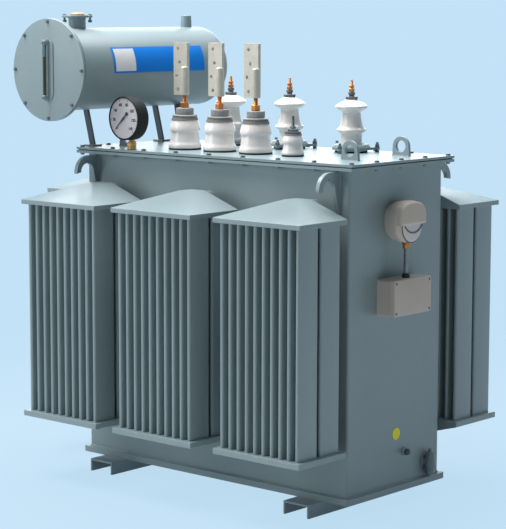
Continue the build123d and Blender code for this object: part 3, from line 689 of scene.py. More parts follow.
for lamp_name, place, size, power in (
    ("lamp_above", (-1.6, -1.2, 5.4), 3.4, 390),
    ("lamp_above_back", (-0.2, 1.6, 5.4), 3.4, 170),
    ("lamp_left", (-3.2, -5.2, 2.8), 3.0, 84),
    ("lamp_behind", (-3.6, 4.4, 2.6), 3.4, 76),
):
    softbox(lamp_name, place, size, power)
    print(lamp_name, power, "W")

# %% [markdown]
# ## The plates that stay
# Tank, rims, cover, base, skids and the conservator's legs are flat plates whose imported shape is
# already right. They keep their meshes and only take paint. The legs are dark above their feet, and
# the joint under the cover is cork.

# %% Paint the welded plates
paint_node(body_enamel, "tank_body", "tank_flange", "cover_plate", "base_flange", "skid_left", "skid_right")
leg_enamel = Finish("leg_enamel", DARK_ENAMEL, 0.45, **{"Coat Weight": 0.25, "Coat Roughness": 0.22})
FOOT_THICK = 0.0065
foot_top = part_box("cover_plate")[1].z + FOOT_THICK
height = leg_enamel.node("SeparateXYZ", output="Z", values=[leg_enamel.place])
grain = leg_enamel.noise(70, detail=2)
above_foot = height.over(foot_top)
leg_dark = leg_enamel.tint(grain, shade(DARK_ENAMEL, 0.9), shade(DARK_ENAMEL, 1.15))
leg_light = leg_enamel.tint(grain, shade(ENAMEL, 0.94), shade(ENAMEL, 1.06))
leg_enamel.feed("Base Color", leg_enamel.tint(above_foot, leg_light, leg_dark))
leg_enamel.feed("Roughness", leg_enamel.spread(grain, 0.3, 0.7, 0.40, 0.50))
leg_enamel.bump(leg_enamel.noise(260, detail=1), 0.00006)
paint_node(leg_enamel.material, "conservator_legs")
paint_node(cork, "cover_gasket")

tank_low, tank_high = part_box("tank_body")
cover_low, cover_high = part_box("cover_plate")
rim_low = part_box("tank_flange")[0]
deck = cover_high.z
print("deck level", round(deck, 4))

# %% [markdown]
# ## Radiator tubes
# Each radiator has two rows of ten flat tubes. A tube is a rounded rectangle carried from the lower
# header to the upper one. One outline serves for all, repeated by adding an array of places.

# %% Tubes
TUBE_WALL_RADIUS = 0.0058
TUBE_COLUMNS, TUBE_ROWS = 10, 2
TUBE_THICK, TUBE_DEEP = 0.013, 0.090


def tube_bank(node):
    """All tubes of one radiator: a rounded bar at each crossing of ten columns and two rows."""
    low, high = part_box(node)
    along_x = high.x - low.x > high.y - low.y
    outline = rounded_box(TUBE_THICK, TUBE_DEEP, TUBE_WALL_RADIUS, 6)
    if not along_x:
        outline = outline[:, ::-1]
    half = (TUBE_THICK / 2, TUBE_DEEP / 2) if along_x else (TUBE_DEEP / 2, TUBE_THICK / 2)
    counts = (TUBE_COLUMNS, TUBE_ROWS) if along_x else (TUBE_ROWS, TUBE_COLUMNS)
    x = np.linspace(low.x + half[0], high.x - half[0], counts[0])
    y = np.linspace(low.y + half[1], high.y - half[1], counts[1])
    places = np.stack(np.meshgrid(x, y, [low.z]), -1).reshape(-1, 3)
    bottom = np.column_stack([outline, np.zeros(len(outline))])
    return tower(np.stack([bottom, bottom + (high.z - low.z) * UP]), places)


radiators = sorted(node[: -len("_tubes")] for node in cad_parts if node.endswith("_tubes"))
for radiator in radiators:
    tubes = f"{radiator}_tubes"
    painted(f"{radiator}_tube_bank", tube_bank(tubes), [tubes])
print("radiators", len(radiators), "faces a bank", made["radiator_end_tube_bank"])

# %% [markdown]
# ## Radiator headers
# A header is a shallow pressed box: an upright rim, four slopes and a small flat ridge that stands
# against the tank's side, where the neck comes out. It is a tower of three rectangles. A bevel of two
# steps gives the folded edges their soft highlight, and the neck ends in a weld at the wall.

# %% Headers
RIDGE_ALONG, RIDGE_OUT = 0.058, 0.055
UPPER_RIM, LOWER_RIM = 0.015, 0.018
UPPER_NECK, LOWER_NECK = 0.022, 0.015
TUBE_MARGIN = 0.030


def rectangle(out_near, out_far, half_along, level):
    """Four corners on a level: outward from the wall between two distances, and along it."""
    return np.array([
        [-half_along, out_near, level], [half_along, out_near, level],
        [half_along, out_far, level], [-half_along, out_far, level],
    ])


def header_boxes(radiator):
    """The upper and lower header of one radiator, in the directions of its own wall."""
    low, high = (np.array(corner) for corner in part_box(f"{radiator}_headers"))
    tubes_low, tubes_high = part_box(f"{radiator}_tubes")
    centre = (low + high) / 2
    if radiator.startswith("radiator_end"):
        along, out, wall, centre_along = BACK, -RIGHT, tank_low.x, centre[1]
        reach, half_along = tank_low.x - low[0], (high[1] - low[1]) / 2
    else:
        rear = centre[1] > 0
        along, out = RIGHT, BACK if rear else -BACK
        wall = tank_high.y if rear else tank_low.y
        centre_along = centre[0]
        reach = high[1] - tank_high.y if rear else tank_low.y - low[1]
        half_along = (high[0] - low[0]) / 2
    depth = tubes_high.y - tubes_low.y if along is RIGHT else tubes_high.x - tubes_low.x
    gap = reach - depth - TUBE_MARGIN
    origin = centre_along * along + wall * np.abs(out)
    parts = []
    for sign, start, rim, peak, neck, neck_level in (
        (1, tubes_high.z, UPPER_RIM, high[2], UPPER_NECK, tubes_high.z + UPPER_RIM + UPPER_NECK),
        (-1, tubes_low.z, LOWER_RIM, low[2], LOWER_NECK, tubes_low.z - LOWER_RIM),
    ):
        loops = np.stack([
            rectangle(gap, reach, half_along, start),
            rectangle(gap, reach, half_along, start + sign * rim),
            rectangle(gap, gap + RIDGE_OUT, RIDGE_ALONG / 2, peak),
        ])
        parts.append(tower(loops))
        parts.append(turned(rod(neck, 0, gap + RIDGE_OUT / 2), [[0, 0, neck_level]], BACK, 32))
    return laid(joined(*parts), along, out, UP, [origin])


for radiator in radiators:
    painted(f"{radiator}_header_pair", header_boxes(radiator), [f"{radiator}_headers"], rounding=0.0016)
print("faces a header pair", made["radiator_end_header_pair"])

# %% [markdown]
# ## Lid bolts
# Twenty-four bolts clamp the cover on the cork joint. Each is a hexagon head on a washer above, and a
# washer, nut and thread end under the rim. One bolt is made and repeated round the edge.

# %% Bolts round the cover
BOLT_EDGE = 0.016
LONG_BOLTS, SHORT_BOLTS = 9, 5
BOLT_ACROSS, BOLT_WASHER, BOLT_THREAD = 0.0125, 0.0085, 0.004

bolt_x = np.linspace(cover_low.x + BOLT_EDGE, cover_high.x - BOLT_EDGE, LONG_BOLTS)
bolt_y = np.linspace(cover_low.y + BOLT_EDGE, cover_high.y - BOLT_EDGE, SHORT_BOLTS)
long_rows = np.stack(np.meshgrid(bolt_x, bolt_y[[0, -1]], [deck]), -1).reshape(-1, 3)
short_rows = np.stack(np.meshgrid(bolt_x[[0, -1]], bolt_y[1:-1], [deck]), -1).reshape(-1, 3)
bolt_places = np.vstack([long_rows, short_rows])
clamped = deck - rim_low.z
UNDER_WASHER, UNDER_NUT, FLAT_HEAD = 0.002, 0.005, 0.30
under_nut = laid(nut(BOLT_ACROSS, UNDER_NUT), RIGHT, BACK, -UP, [[0, 0, -clamped - UNDER_WASHER]])
under_washer = turned(rod(BOLT_WASHER, -clamped, -clamped - UNDER_WASHER))
lid_screw = screw(BOLT_ACROSS, BOLT_WASHER, BOLT_THREAD, clamped, FLAT_HEAD)
piece("lid_bolts", copied(lid_screw, bolt_places), shaded_bolt_enamel, "plated_bolt", sharp=30)
painted("lid_nuts", copied(joined(under_nut, under_washer), bolt_places), sharp=30)
print("lid bolts", len(bolt_places))

# %% [markdown]
# ## Hooks and lugs
# Both are flame-cut plates. A hook curls out from the wall: its outline is an outer arc, a blunt tip
# and an inner arc that runs into a straight root. A lug is an eye whose straight flanks meet the
# round head on a tangent. Flat curves fill these outlines, holes and all, and a small bevel breaks
# the cut edges.

# %% Lifting hooks
HOOK_THICK = 0.014
HOOK_INNER, HOOK_OUTER, HOOK_TIP = 0.029, 0.054, 0.019

hooks_low, hooks_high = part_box("lifting_hooks")
hook_reach = hooks_high.y - tank_high.y
hook_height = hooks_high.z - hooks_low.z


def hook_outline():
    """(distance from the wall, height below the top) round one hook."""
    outer = arc((hook_reach - HOOK_OUTER, -HOOK_OUTER), HOOK_OUTER, 90, -4, 20)
    tip_inner = hook_reach - HOOK_TIP
    inner = arc((tip_inner - HOOK_INNER, -HOOK_OUTER), HOOK_INNER, 0, 180, 24)
    return np.vstack([[0, 0], outer, inner, [0.004, -hook_height], [0, -hook_height]])


hook_plate = cut_plate([hook_outline()], HOOK_THICK)
hook_x = np.array([hooks_low.x + HOOK_THICK / 2, hooks_high.x - HOOK_THICK / 2])
front_places = [[x, tank_low.y, hooks_high.z] for x in hook_x]
rear_places = [[x, tank_high.y, hooks_high.z] for x in hook_x]
hooks = joined(
    laid(hook_plate, -BACK, UP, RIGHT, front_places), laid(hook_plate, BACK, UP, RIGHT, rear_places)
)
painted("hook_plates", hooks, ["lifting_hooks"], rounding=0.0014)

# %% Cover lugs
LUG_BASE, LUG_THICK, LUG_INSET = 0.066, 0.010, 0.035
LUG_HOLE_HEIGHT, LUG_OUTER, LUG_HOLE = 0.031, 0.0305, 0.019

lugs_low, lugs_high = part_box("cover_lugs")
lug_head = (0, LUG_HOLE_HEIGHT)
lug_outline = np.vstack([[LUG_BASE / 2, 0], arc(lug_head, LUG_OUTER, 8, 172, 28), [-LUG_BASE / 2, 0]])
lug_plate = cut_plate([lug_outline, hole(lug_head, LUG_HOLE, 32)], LUG_THICK)
lug_x = [lugs_low.x + LUG_INSET, lugs_high.x - LUG_INSET]
lug_y = [lugs_low.y + LUG_THICK / 2, lugs_high.y - LUG_THICK / 2]
lug_places = np.stack(np.meshgrid(lug_x, lug_y, [deck]), -1).reshape(-1, 3)
painted("lug_plates", laid(lug_plate, RIGHT, UP, -BACK, lug_places), ["cover_lugs"], rounding=0.0012)
print("hook reach", round(hook_reach, 4), "lugs", len(lug_places))

# %% [markdown]
# ## Conservator
# The oil drum is rolled plate: a long cylinder, a ring at its front that takes the bolted cover, and a
# dished end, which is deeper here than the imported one. All are turned about one axis that runs towards
# the front. The end's profile is a superellipse: radius = R sin(t)^(2/p) and depth = D cos(t)^(2/p).
# The cover and the ring leave a fine dark joint between them, and eight bolts go through both.

# %% Drum, ring, cover and end
FORWARD = -BACK
front_cover_low, front_cover_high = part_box("conservator_cover")
end_low, end_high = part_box("conservator_end")
drum_radius = (end_high.x - end_low.x) / 2
ring_radius = (front_cover_high.x - front_cover_low.x) / 2
drum_axis = np.array([(end_low.x + end_high.x) / 2, 0.0, (end_low.z + end_high.z) / 2])
drum_back = end_high.y
drum_front = front_cover_low.y
PLATE, JOINT, DRUM_WALL = 0.008, 0.0012, 0.004


def drum_height(y):
    """Distance forward from the rear end's crown."""
    return drum_back - y


def along_drum(profile, segments=128):
    """A profile of (radius, distance forward) turned about the drum's axis."""
    return turned(profile, [drum_axis + drum_back * BACK], FORWARD, segments)


shell_start = drum_height(end_low.y)
ring_back = drum_height(drum_front) - 2 * PLATE
cover_back = drum_height(drum_front) - PLATE
inside = drum_radius - DRUM_WALL
shell = along_drum(sleeve(inside, drum_radius, shell_start, ring_back))
ring = along_drum(rounded(sleeve(inside, ring_radius, ring_back, cover_back - JOINT)[:-1], 0.001, 3))
painted("drum_shell", joined(shell, ring), ["conservator_shell"], sharp=30)

cover_profile = rounded(rod(ring_radius, cover_back, cover_back + PLATE), 0.0012, 4)
painted("drum_cover", along_drum(cover_profile), ["conservator_cover"], sharp=30)

END_DEPTH, FULLNESS = 0.066, 2.6
t = np.linspace(0, pi / 2, 40)
dish = np.column_stack([
    drum_radius * np.sin(t) ** (2 / FULLNESS), shell_start - END_DEPTH * np.cos(t) ** (2 / FULLNESS),
])
lip = [(inside, shell_start), (0, shell_start - 0.002)]
painted("drum_end", along_drum(np.vstack([dish, lip])), ["conservator_end"])

# %% Bolts of the drum's cover
DRUM_BOLTS, DRUM_BOLT_EDGE, DRUM_BOLT_ACROSS = 8, 0.010, 0.0095
drum_bolt = screw(DRUM_BOLT_ACROSS, 0.0058, 0.003, 2 * PLATE + 0.006)
drum_bolt_back = laid(nut(DRUM_BOLT_ACROSS, 0.005), RIGHT, BACK, -UP, [[0, 0, -2 * PLATE]])
on_ring = on_circle(ring_radius - DRUM_BOLT_EDGE, DRUM_BOLTS, pi / 2)
ring_places = drum_axis + drum_front * BACK + on_ring[:, :1] * RIGHT + on_ring[:, 1:2] * UP
piece("drum_bolts", laid(joined(drum_bolt, drum_bolt_back), RIGHT, UP, FORWARD, ring_places), shaded_bolt_enamel,
      "plated_bolt", sharp=30)
print("drum radius", round(drum_radius, 4), "ring", round(ring_radius, 4))

# %% [markdown]
# ## Panel on the drum
# A thin blue panel with a white square lies on the drum's upper right side. Both are plain colour. Each
# is a strip of a cylinder, a little larger than the drum, so the points are axis + r (cos a, sin a) over
# a range of angles and a range of Y.

# %% Curved panels
PANEL_ANGLES = (-5, 32)
PANEL_Y = (-0.228, 0.214)
SQUARE_ANGLES = (-2.5, 29.5)
SQUARE_Y = (-0.220, -0.126)


def curved_panel(angles, y_range, lift, thick):
    """A closed sheet on the drum between two angles and two stations: an outer and an inner skin."""
    angle = np.radians(np.linspace(*angles, 24))
    y = np.linspace(*y_range, 12)
    skins = []
    for radius in (drum_radius + lift, drum_radius + lift + thick):
        across = np.cos(angle)[:, None] * RIGHT + np.sin(angle)[:, None] * UP
        skins.append((drum_axis + radius * across)[:, None] + y[:, None] * BACK)
    inner, outer = skins
    edges = [np.concatenate([s[:, 0], s[-1, 1:], s[-2::-1, -1], s[0, -2:0:-1]]) for s in skins]
    rim = grid(np.stack(edges), wrap_v=True)
    return joined(grid(inner), grid(outer), rim)


piece("drum_panel", curved_panel(PANEL_ANGLES, PANEL_Y, 0.0002, 0.0010), blue_panel, "tank_paint")
piece("drum_square", curved_panel(SQUARE_ANGLES, SQUARE_Y, 0.0012, 0.0006), white_panel, "tank_paint")

# %% [markdown]
# ## Filler, vent and oil pipe
# The filler is a short neck with a cap held by two swing bolts at its ears, and a copper disc lies on
# the cap. The vent is a tapered stub. Both start inside the drum's skin, so that they meet it all round.

# %% Filler
filler_low, filler_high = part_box("oil_filler")
filler = middle("oil_filler")
filler_axis = [[filler[0], filler[1], 0]]
NECK_RADIUS, CAP_RADIUS, DISC_RADIUS = 0.029, 0.044, 0.0250
CAP_THICK, DISC_THICK = 0.009, 0.009
cap_bottom = filler_high.z - CAP_THICK - DISC_THICK
crown_z = drum_axis[2] + drum_radius
neck = lathe([
    (0, crown_z - 0.006), (NECK_RADIUS, crown_z - 0.006), (NECK_RADIUS, cap_bottom - 0.003),
    (NECK_RADIUS + 0.002, cap_bottom - 0.003), (NECK_RADIUS + 0.002, cap_bottom), (0, cap_bottom),
], 0.0015, 4, filler_axis, segments=64)
cap_profile = rod(CAP_RADIUS, cap_bottom + 0.0004, cap_bottom + CAP_THICK)
cap = lathe(cap_profile, 0.0025, 5, filler_axis, segments=64)
ear_outline = rounded_box(filler_high.x - filler_low.x, 0.016, 0.0075, 8)
EAR_TURN = radians(18)
ear_along = np.array([cos(EAR_TURN), sin(EAR_TURN), 0.0])
ears = raised(ear_outline, [0, 0.001, CAP_THICK - 0.002, CAP_THICK - 0.001], [0.001, 0, 0, 0.001])
ears = laid(ears, ear_along, np.cross(UP, ear_along), UP, [[filler[0], filler[1], cap_bottom + 0.0005]])
painted("filler_neck", joined(neck, cap, ears), ["oil_filler"])

disc = lathe([
    (0, filler_high.z - DISC_THICK), (DISC_RADIUS, filler_high.z - DISC_THICK),
    (DISC_RADIUS, filler_high.z - 0.005), (DISC_RADIUS * 0.7, filler_high.z - 0.001), (0, filler_high.z),
], 0.003, 5, filler_axis)
piece("filler_disc", disc, pale_copper, "copper")

SWING_DROP, PIN_HALF = 0.020, 0.005
shank = turned(rod(0.0035, -SWING_DROP, 0.002), segments=16)
pin = laid(turned(rod(0.0048, -PIN_HALF, PIN_HALF), segments=20), UP, RIGHT, BACK, [[0, 0, -SWING_DROP]])
swing = joined(nut(0.011, 0.003), shank, pin)
ear_x = (filler_high.x - filler_low.x) / 2 - 0.008
cap_top = np.array([filler[0], filler[1], cap_bottom + CAP_THICK])
swing_places = [cap_top + side * ear_x * ear_along for side in (-1, 1)]
piece("filler_swing_bolts", copied(swing, swing_places), zinc_plate, "plated_bolt", sharp=30)

# %% Vent and oil pipe
vent = middle("conservator_vent")
vent_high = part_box("conservator_vent")[1]
FOOT_RADIUS, TIP_RADIUS = 0.0200, 0.0180
stub = lathe([
    (0, crown_z - 0.004), (FOOT_RADIUS, crown_z - 0.004), (TIP_RADIUS, vent_high.z), (0, vent_high.z),
], 0.0025, 6, [[vent[0], vent[1], 0]])
painted("vent_stub", stub, ["conservator_vent"])

PIPE_RADIUS, PIPE_FOOT, FOOT_DEPTH = 0.013, 0.030, 0.008
PIPE_LEAN, INTO_DRUM = 0.026, 0.030
pipe_low, pipe_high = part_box("oil_pipe")
pipe_y = (pipe_low.y + pipe_high.y) / 2
foot_x = pipe_high.x - PIPE_FOOT
pipe_start = np.array([foot_x, pipe_y, deck])
pipe_end = np.array([foot_x - PIPE_LEAN, pipe_y, drum_axis[2] - drum_radius + INTO_DRUM])
pipe_length = np.linalg.norm(pipe_end - pipe_start)
lean = (pipe_end - pipe_start) / pipe_length
pipe = turned(rod(PIPE_RADIUS, 0, pipe_length), [pipe_start], lean, 40)
foot = lathe(rod(PIPE_FOOT, 0, FOOT_DEPTH), 0.001, 3, [pipe_start])
piece("pipe_and_foot", joined(pipe, foot), dark_enamel, "dark_paint", ["oil_pipe"])
foot_places = pipe_start + on_circle(0.022, 4, pi / 4) + FOOT_DEPTH * UP
foot_screws = copied(screw(0.011, 0.0075, 0.003, 0.004), foot_places)
piece("pipe_foot_screws", foot_screws, zinc_plate, "plated_bolt", sharp=30)

# %% [markdown]
# ## Sight gauge
# A thin oblong with rounded ends lies on the drum's cover. The glass stands before a narrow back plate
# on it, between two blocks. That plate has a raised rim, so its outline is carried up in steps. The
# oil is a column of its own inside the glass, and stands about three quarters up.

# %% Back plate, blocks, glass and oil
guard_low, guard_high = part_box("sight_gauge_guard")
glass_low, glass_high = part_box("sight_glass")
guard = middle("sight_gauge_guard")
glass = middle("sight_glass")
GUARD_WIDTH = guard_high.x - guard_low.x
GUARD_LENGTH = guard_high.z - guard_low.z
face = guard_high.y
plate_outline = rounded_box(GUARD_WIDTH, GUARD_LENGTH, GUARD_WIDTH / 2 - 0.0001, 10)
back_plate = raised(plate_outline, [0, 0.0080, 0.0090, 0.0090, 0.0050], [0, 0, 0.001, 0.0028, 0.0030])
block_outline = rounded_box(GUARD_WIDTH - 0.002, 0.018, 0.0068, 8)
block_depth = face - guard_low.y - 0.002
block_levels = [0, block_depth - 0.004, block_depth - 0.001, block_depth]
block = raised(block_outline, block_levels, [0, 0, 0.0015, 0.0035])
half_length = GUARD_LENGTH / 2 - 0.013
blocks = copied(block, [[0, half_length, 0], [0, -half_length, 0]])
gauge_place = [[guard[0], face, guard[2]]]
gauge_form = laid(joined(back_plate, blocks), RIGHT, UP, FORWARD, gauge_place)
painted("gauge_guard", gauge_form, ["sight_gauge_guard"], rounding=0.0006)

OBLONG_WIDTH, OBLONG_THICK = 0.052, 0.0035
oblong = rounded_box(OBLONG_WIDTH, GUARD_LENGTH - 0.004, OBLONG_WIDTH / 2 - 0.0001, 14)
oblong_plate = raised(oblong, [0, OBLONG_THICK - 0.001, OBLONG_THICK], [0, 0, 0.001])
painted("gauge_oblong", laid(oblong_plate, RIGHT, UP, FORWARD, gauge_place), sharp=30)

gauge_screw = lathe([(0, 0), (0.0042, 0), (0.0042, 0.002), (0, 0.0032)], 0.0012, 4, segments=24)
gauge_screws = laid(gauge_screw, RIGHT, UP, FORWARD,
                    [[guard[0], face - block_depth, guard[2] + end * half_length] for end in (-1, 1)])
piece("gauge_screws", gauge_screws, shaded_bolt_enamel, "plated_bolt")

GLASS_RADIUS, GLASS_WALL = 0.005, 0.0012
glass_base = [[glass[0], glass[1], glass_low.z]]
glass_length = glass_high.z - glass_low.z
tube = turned(sleeve(GLASS_RADIUS - GLASS_WALL, GLASS_RADIUS, 0, glass_length), glass_base, segments=32)
piece("gauge_glass", tube, clear_glass, "clear_glass", ["sight_glass"])
OIL_SHARE = 0.76
oil_radius = GLASS_RADIUS - GLASS_WALL - 0.0002
oil_profile = rod(oil_radius, 0.001, OIL_SHARE * glass_length)
piece("gauge_oil", turned(oil_profile, glass_base, segments=24), oil, "clear_glass")

# %% [markdown]
# ## Dial thermometer
# A black case with a rolled rim, a pale face, a ring of marks with plain numbers, and a tapered
# pointer on a hub. The case is turned a few degrees about its stem, so all its parts are made facing
# forward and laid along two turned directions.

# %% Case and face
dial = middle("dial_thermometer")
DIAL_RADIUS, DIAL_RIM, DIAL_DEPTH, FACE_RECESS = 0.072, 0.0055, 0.053, 0.003
DIAL_TURN = radians(-3)
dial_side = np.array([cos(DIAL_TURN), sin(DIAL_TURN), 0.0])
dial_forward = np.array([sin(DIAL_TURN), -cos(DIAL_TURN), 0.0])
case_back = dial - dial_forward * DIAL_DEPTH / 2
rim_radius = DIAL_RADIUS - DIAL_RIM
case_profile = rounded([
    (0, 0), (DIAL_RADIUS - 0.006, 0), (DIAL_RADIUS, 0.006), (DIAL_RADIUS, DIAL_DEPTH - 0.007),
    (DIAL_RADIUS - 0.0005, DIAL_DEPTH), (rim_radius, DIAL_DEPTH), (rim_radius, DIAL_DEPTH - FACE_RECESS),
    (0, DIAL_DEPTH - FACE_RECESS),
], 0.002, 5)
piece("dial_case", turned(case_profile, [case_back], dial_forward, 96), black_case, "black_case",
      ["dial_thermometer"])
face_middle = case_back + dial_forward * (DIAL_DEPTH - FACE_RECESS)


def on_face(form, lift=0.0):
    """A form drawn on the dial's face: x to the right, y up, z out."""
    return laid(form, dial_side, UP, dial_forward, [face_middle + lift * dial_forward])


face_plate = turned(rod(rim_radius - 0.0003, 0, 0.0006), segments=96)
piece("dial_face", on_face(face_plate, 0.0001), dial_white, "black_case")

# %% Marks, numbers and pointer
SCALE_START, SCALE_SWEEP = 225, -270
LONG_MARKS, MARKS = 8, 36


def spoke(inner, outer, width, thick):
    """A flat bar that points outwards along x."""
    outline = np.array([[inner, -width / 2], [outer, -width / 2], [outer, width / 2], [inner, width / 2]])
    return raised(outline, [0, thick])


def fanned(form, angles):
    """The form turned about z to each angle in degrees, joined in one."""
    a = np.radians(angles)
    turn = np.stack([np.stack([np.cos(a), np.sin(a)], -1), np.stack([-np.sin(a), np.cos(a)], -1)], 1)
    flat = np.einsum("pi,aij->apj", form.points[:, :2], turn)
    level = np.broadcast_to(form.points[:, 2], flat.shape[:2])[..., None]
    points = np.concatenate([flat, level], -1).reshape(-1, 3)
    starts = np.arange(len(a))[:, None] * len(form.points)
    return Form(points, (starts + form.corners[None]).reshape(-1), np.tile(form.sizes, len(a)))


long_angles = SCALE_START + SCALE_SWEEP * np.linspace(0, 1, LONG_MARKS)
fine_angles = SCALE_START + SCALE_SWEEP * np.linspace(0, 1, MARKS)
marks = joined(
    fanned(spoke(0.0575, 0.0645, 0.0020, 0.0004), long_angles),
    fanned(spoke(0.0605, 0.0645, 0.0009, 0.0004), fine_angles),
)
POINTER_ANGLE = 223
POINTER_LENGTH, POINTER_TAIL, TAIL_RADIUS = 0.056, -0.022, 0.0062
tail_disc = arc((POINTER_TAIL, 0), TAIL_RADIUS, 20, 340, 24)
blade = [[0.0, -0.0028], [POINTER_LENGTH, -0.0006], [POINTER_LENGTH, 0.0006], [0.0, 0.0028]]
pointer_outline = np.vstack([tail_disc, blade])
pointer_rim = raised(pointer_outline - pointer_outline.mean(0), [0.0022, 0.0030])
pointer = fanned(copied(pointer_rim, [*pointer_outline.mean(0), 0]), [POINTER_ANGLE])
hub = lathe([(0, 0), (0.0042, 0), (0.0042, 0.0036), (0, 0.0038)], 0.001, 4, segments=32)
piece("dial_marks", on_face(marks, 0.0006), dial_black, "black_case")
piece("dial_pointer", on_face(joined(pointer, hub), 0.0006), dial_black, "black_case")


def number_form(text, size, thick):
    """A number as a form about its own middle, from Blender's plain letter shapes."""
    writing = bpy.data.curves.new("number", "FONT")
    writing.body = text
    writing.size = size
    writing.extrude = thick
    writing.offset = BOLDNESS
    writing.align_x = "CENTER"
    writing.align_y = "CENTER"
    return form_of(writing)


NUMBER_RADIUS, NUMBER_SIZE, BOLDNESS = 0.0465, 0.0135, 0.0005
numbers = [
    copied(number_form(str(20 * step), NUMBER_SIZE, 0.0002),
           [[NUMBER_RADIUS * cos(radians(angle)), NUMBER_RADIUS * sin(radians(angle)), 0.0008]])
    for step, angle in enumerate(long_angles)
]
piece("dial_numbers", on_face(joined(*numbers)), dial_black, "black_case")

pane = turned(rod(rim_radius - 0.0004, 0.0010, 0.0018), segments=64)
piece("dial_glass", on_face(pane, 0.0014), dial_glass, "clear_glass")

# %% Brass pocket
pocket = middle("thermometer_pocket")
pocket_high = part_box("thermometer_pocket")[1]
pocket_axis = [[pocket[0], pocket[1], deck]]
boss = lathe(rod(0.0150, 0, 0.008), 0.0012, 4, pocket_axis, segments=40)
stem_top = pocket_high.z - deck + 0.001
stem = lathe([
    (0, 0.020), (0.0110, 0.020), (0.0110, 0.026), (0.0095, 0.027), (0.0095, stem_top), (0, stem_top),
], 0.0008, 3, pocket_axis, segments=40)
pocket_nut = copied(nut(0.0265, 0.014), [[pocket[0], pocket[1], deck + 0.008]])
piece("pocket_stem", joined(boss, pocket_nut, stem), brass, "brass_stem", ["thermometer_pocket"], sharp=30)

# %% [markdown]
# ## Low-voltage bushings
# Each large bushing is squat porcelain: a black ring under a rounded foot, a body that draws in
# towards one soft shed, and a sloping crown. A grey washer and cap sit on the crown over a dark cone
# of painted shade, then come a copper nut and stud, and a tinned flag with a barrel. The neutral is
# the same form, smaller. One function draws both profiles from a few radii and levels.

# %% Porcelain of the low row
def squat_profile(foot, body, shed, crown, body_top, shed_top, height):
    """(radius, height) from the foot's lip through body and shed to the crown."""
    lip = 0.11 * height
    shed_drop = 0.1 * (shed_top - body_top)
    foot_part = rounded([
        (0, 0.005), (foot - 0.001, 0.005), (foot, 0.005 + lip * 0.4), (foot, 0.005 + lip),
        (body + 0.004, 0.005 + 1.8 * lip), (body, body_top - 0.002), (body - 0.002, body_top),
    ], 0.004, 6)
    shed_part = rounded([
        (body - 0.002, body_top), (shed - 0.001, body_top - shed_drop), (shed, body_top + 0.5 * shed_drop),
        (shed, body_top + 0.35 * (shed_top - body_top)), (body, shed_top), (crown + 0.001, height - 0.002),
        (crown, height), (0, height),
    ], 0.0075, 6)
    return np.vstack([foot_part, shed_part[1:]])


lv = row_places("lv_porcelain", 0.0545, deck)
neutral = middle("neutral_porcelain") * (1, 1, 0) + deck * UP
large = turned(squat_profile(0.0545, 0.0450, 0.0505, 0.0385, 0.064, 0.092, 0.107), lv, segments=96)
small = turned(squat_profile(0.0355, 0.0285, 0.0335, 0.0250, 0.044, 0.064, 0.072), [neutral], segments=80)
piece("lv_insulators", large, white_glaze, "white_porcelain", ["lv_porcelain"], sharp=60)
piece("neutral_insulator", small, white_glaze, "white_porcelain", ["neutral_porcelain"], sharp=60)

# %% Caps, nuts and studs of the low row
CROWN = 0.107
CAP_HEIGHT = 0.030
washer = lathe([
    (0, 0), (0.0385, 0), (0.0410, 0.003), (0.0410, 0.006), (0.030, 0.0075), (0, 0.0075),
], 0.0012, segments=96)
cap = lathe([
    (0, 0.006), (0.0280, 0.006), (0.0280, CAP_HEIGHT - 0.002), (0.0265, CAP_HEIGHT), (0, CAP_HEIGHT),
], 0.0015, segments=96)
RIBS = 36
rib_angle = np.arange(RIBS * 6) * 2 * pi / (RIBS * 6)
rib_radius = 0.0284 + 0.0008 * np.cos(RIBS * rib_angle)
knurl = np.column_stack([rib_radius * np.cos(rib_angle), rib_radius * np.sin(rib_angle)])
knurled = raised(knurl, [0.008, 0.009, 0.0275, 0.029], [0.001, 0, 0, 0.001])
lv_top = lv + CROWN * UP
cap_set = copied(joined(washer, cap, knurled), lv_top)
piece("lv_cap_set", cap_set, cast_grey, "grey_cap", ["lv_caps"], sharp=30)


def threaded(radius, start, end, pitch=0.0022, segments=24):
    """A threaded rod, whose radius swings between crest and root at every half pitch."""
    h = np.linspace(start, end, 2 * int((end - start) / pitch) + 1)
    r = radius * (1 - 0.13 * (np.arange(len(h)) % 2))
    return turned(np.column_stack([np.r_[0, r, 0], np.r_[start, h, end]]), segments=segments)


lv_stud = joined(nut(0.026, 0.019), threaded(0.0072, 0.0, 0.0415))
lv_studs = copied(lv_stud, lv_top + CAP_HEIGHT * UP)
piece("lv_stud_set", lv_studs, copper, "copper", ["lv_studs"], sharp=30)

neutral_top = neutral + 0.072 * UP


def shade_cone(places, top_radius, foot_radius, top, foot, thick=0.0015):
    """A thin dark cone under the washer that follows the porcelain's slope: painted shade where the washer
    shades the porcelain.
    """
    outer = [(top_radius, top), (foot_radius, foot)]
    inner = [(foot_radius - thick, foot), (top_radius - thick, top), (top_radius, top)]
    return turned(outer + inner, places, segments=72)


# Painted shade: a dark cone under each washer of the low row and of the neutral.
shade_cones = joined(shade_cone(lv, 0.0402, 0.0450, CROWN, 0.0970), shade_cone([neutral], 0.0258, 0.0290, 0.072, 0.0665))
piece("bushing_shade_cones", shade_cones, shade_cone_grey, "black_rubber", sharp=30)

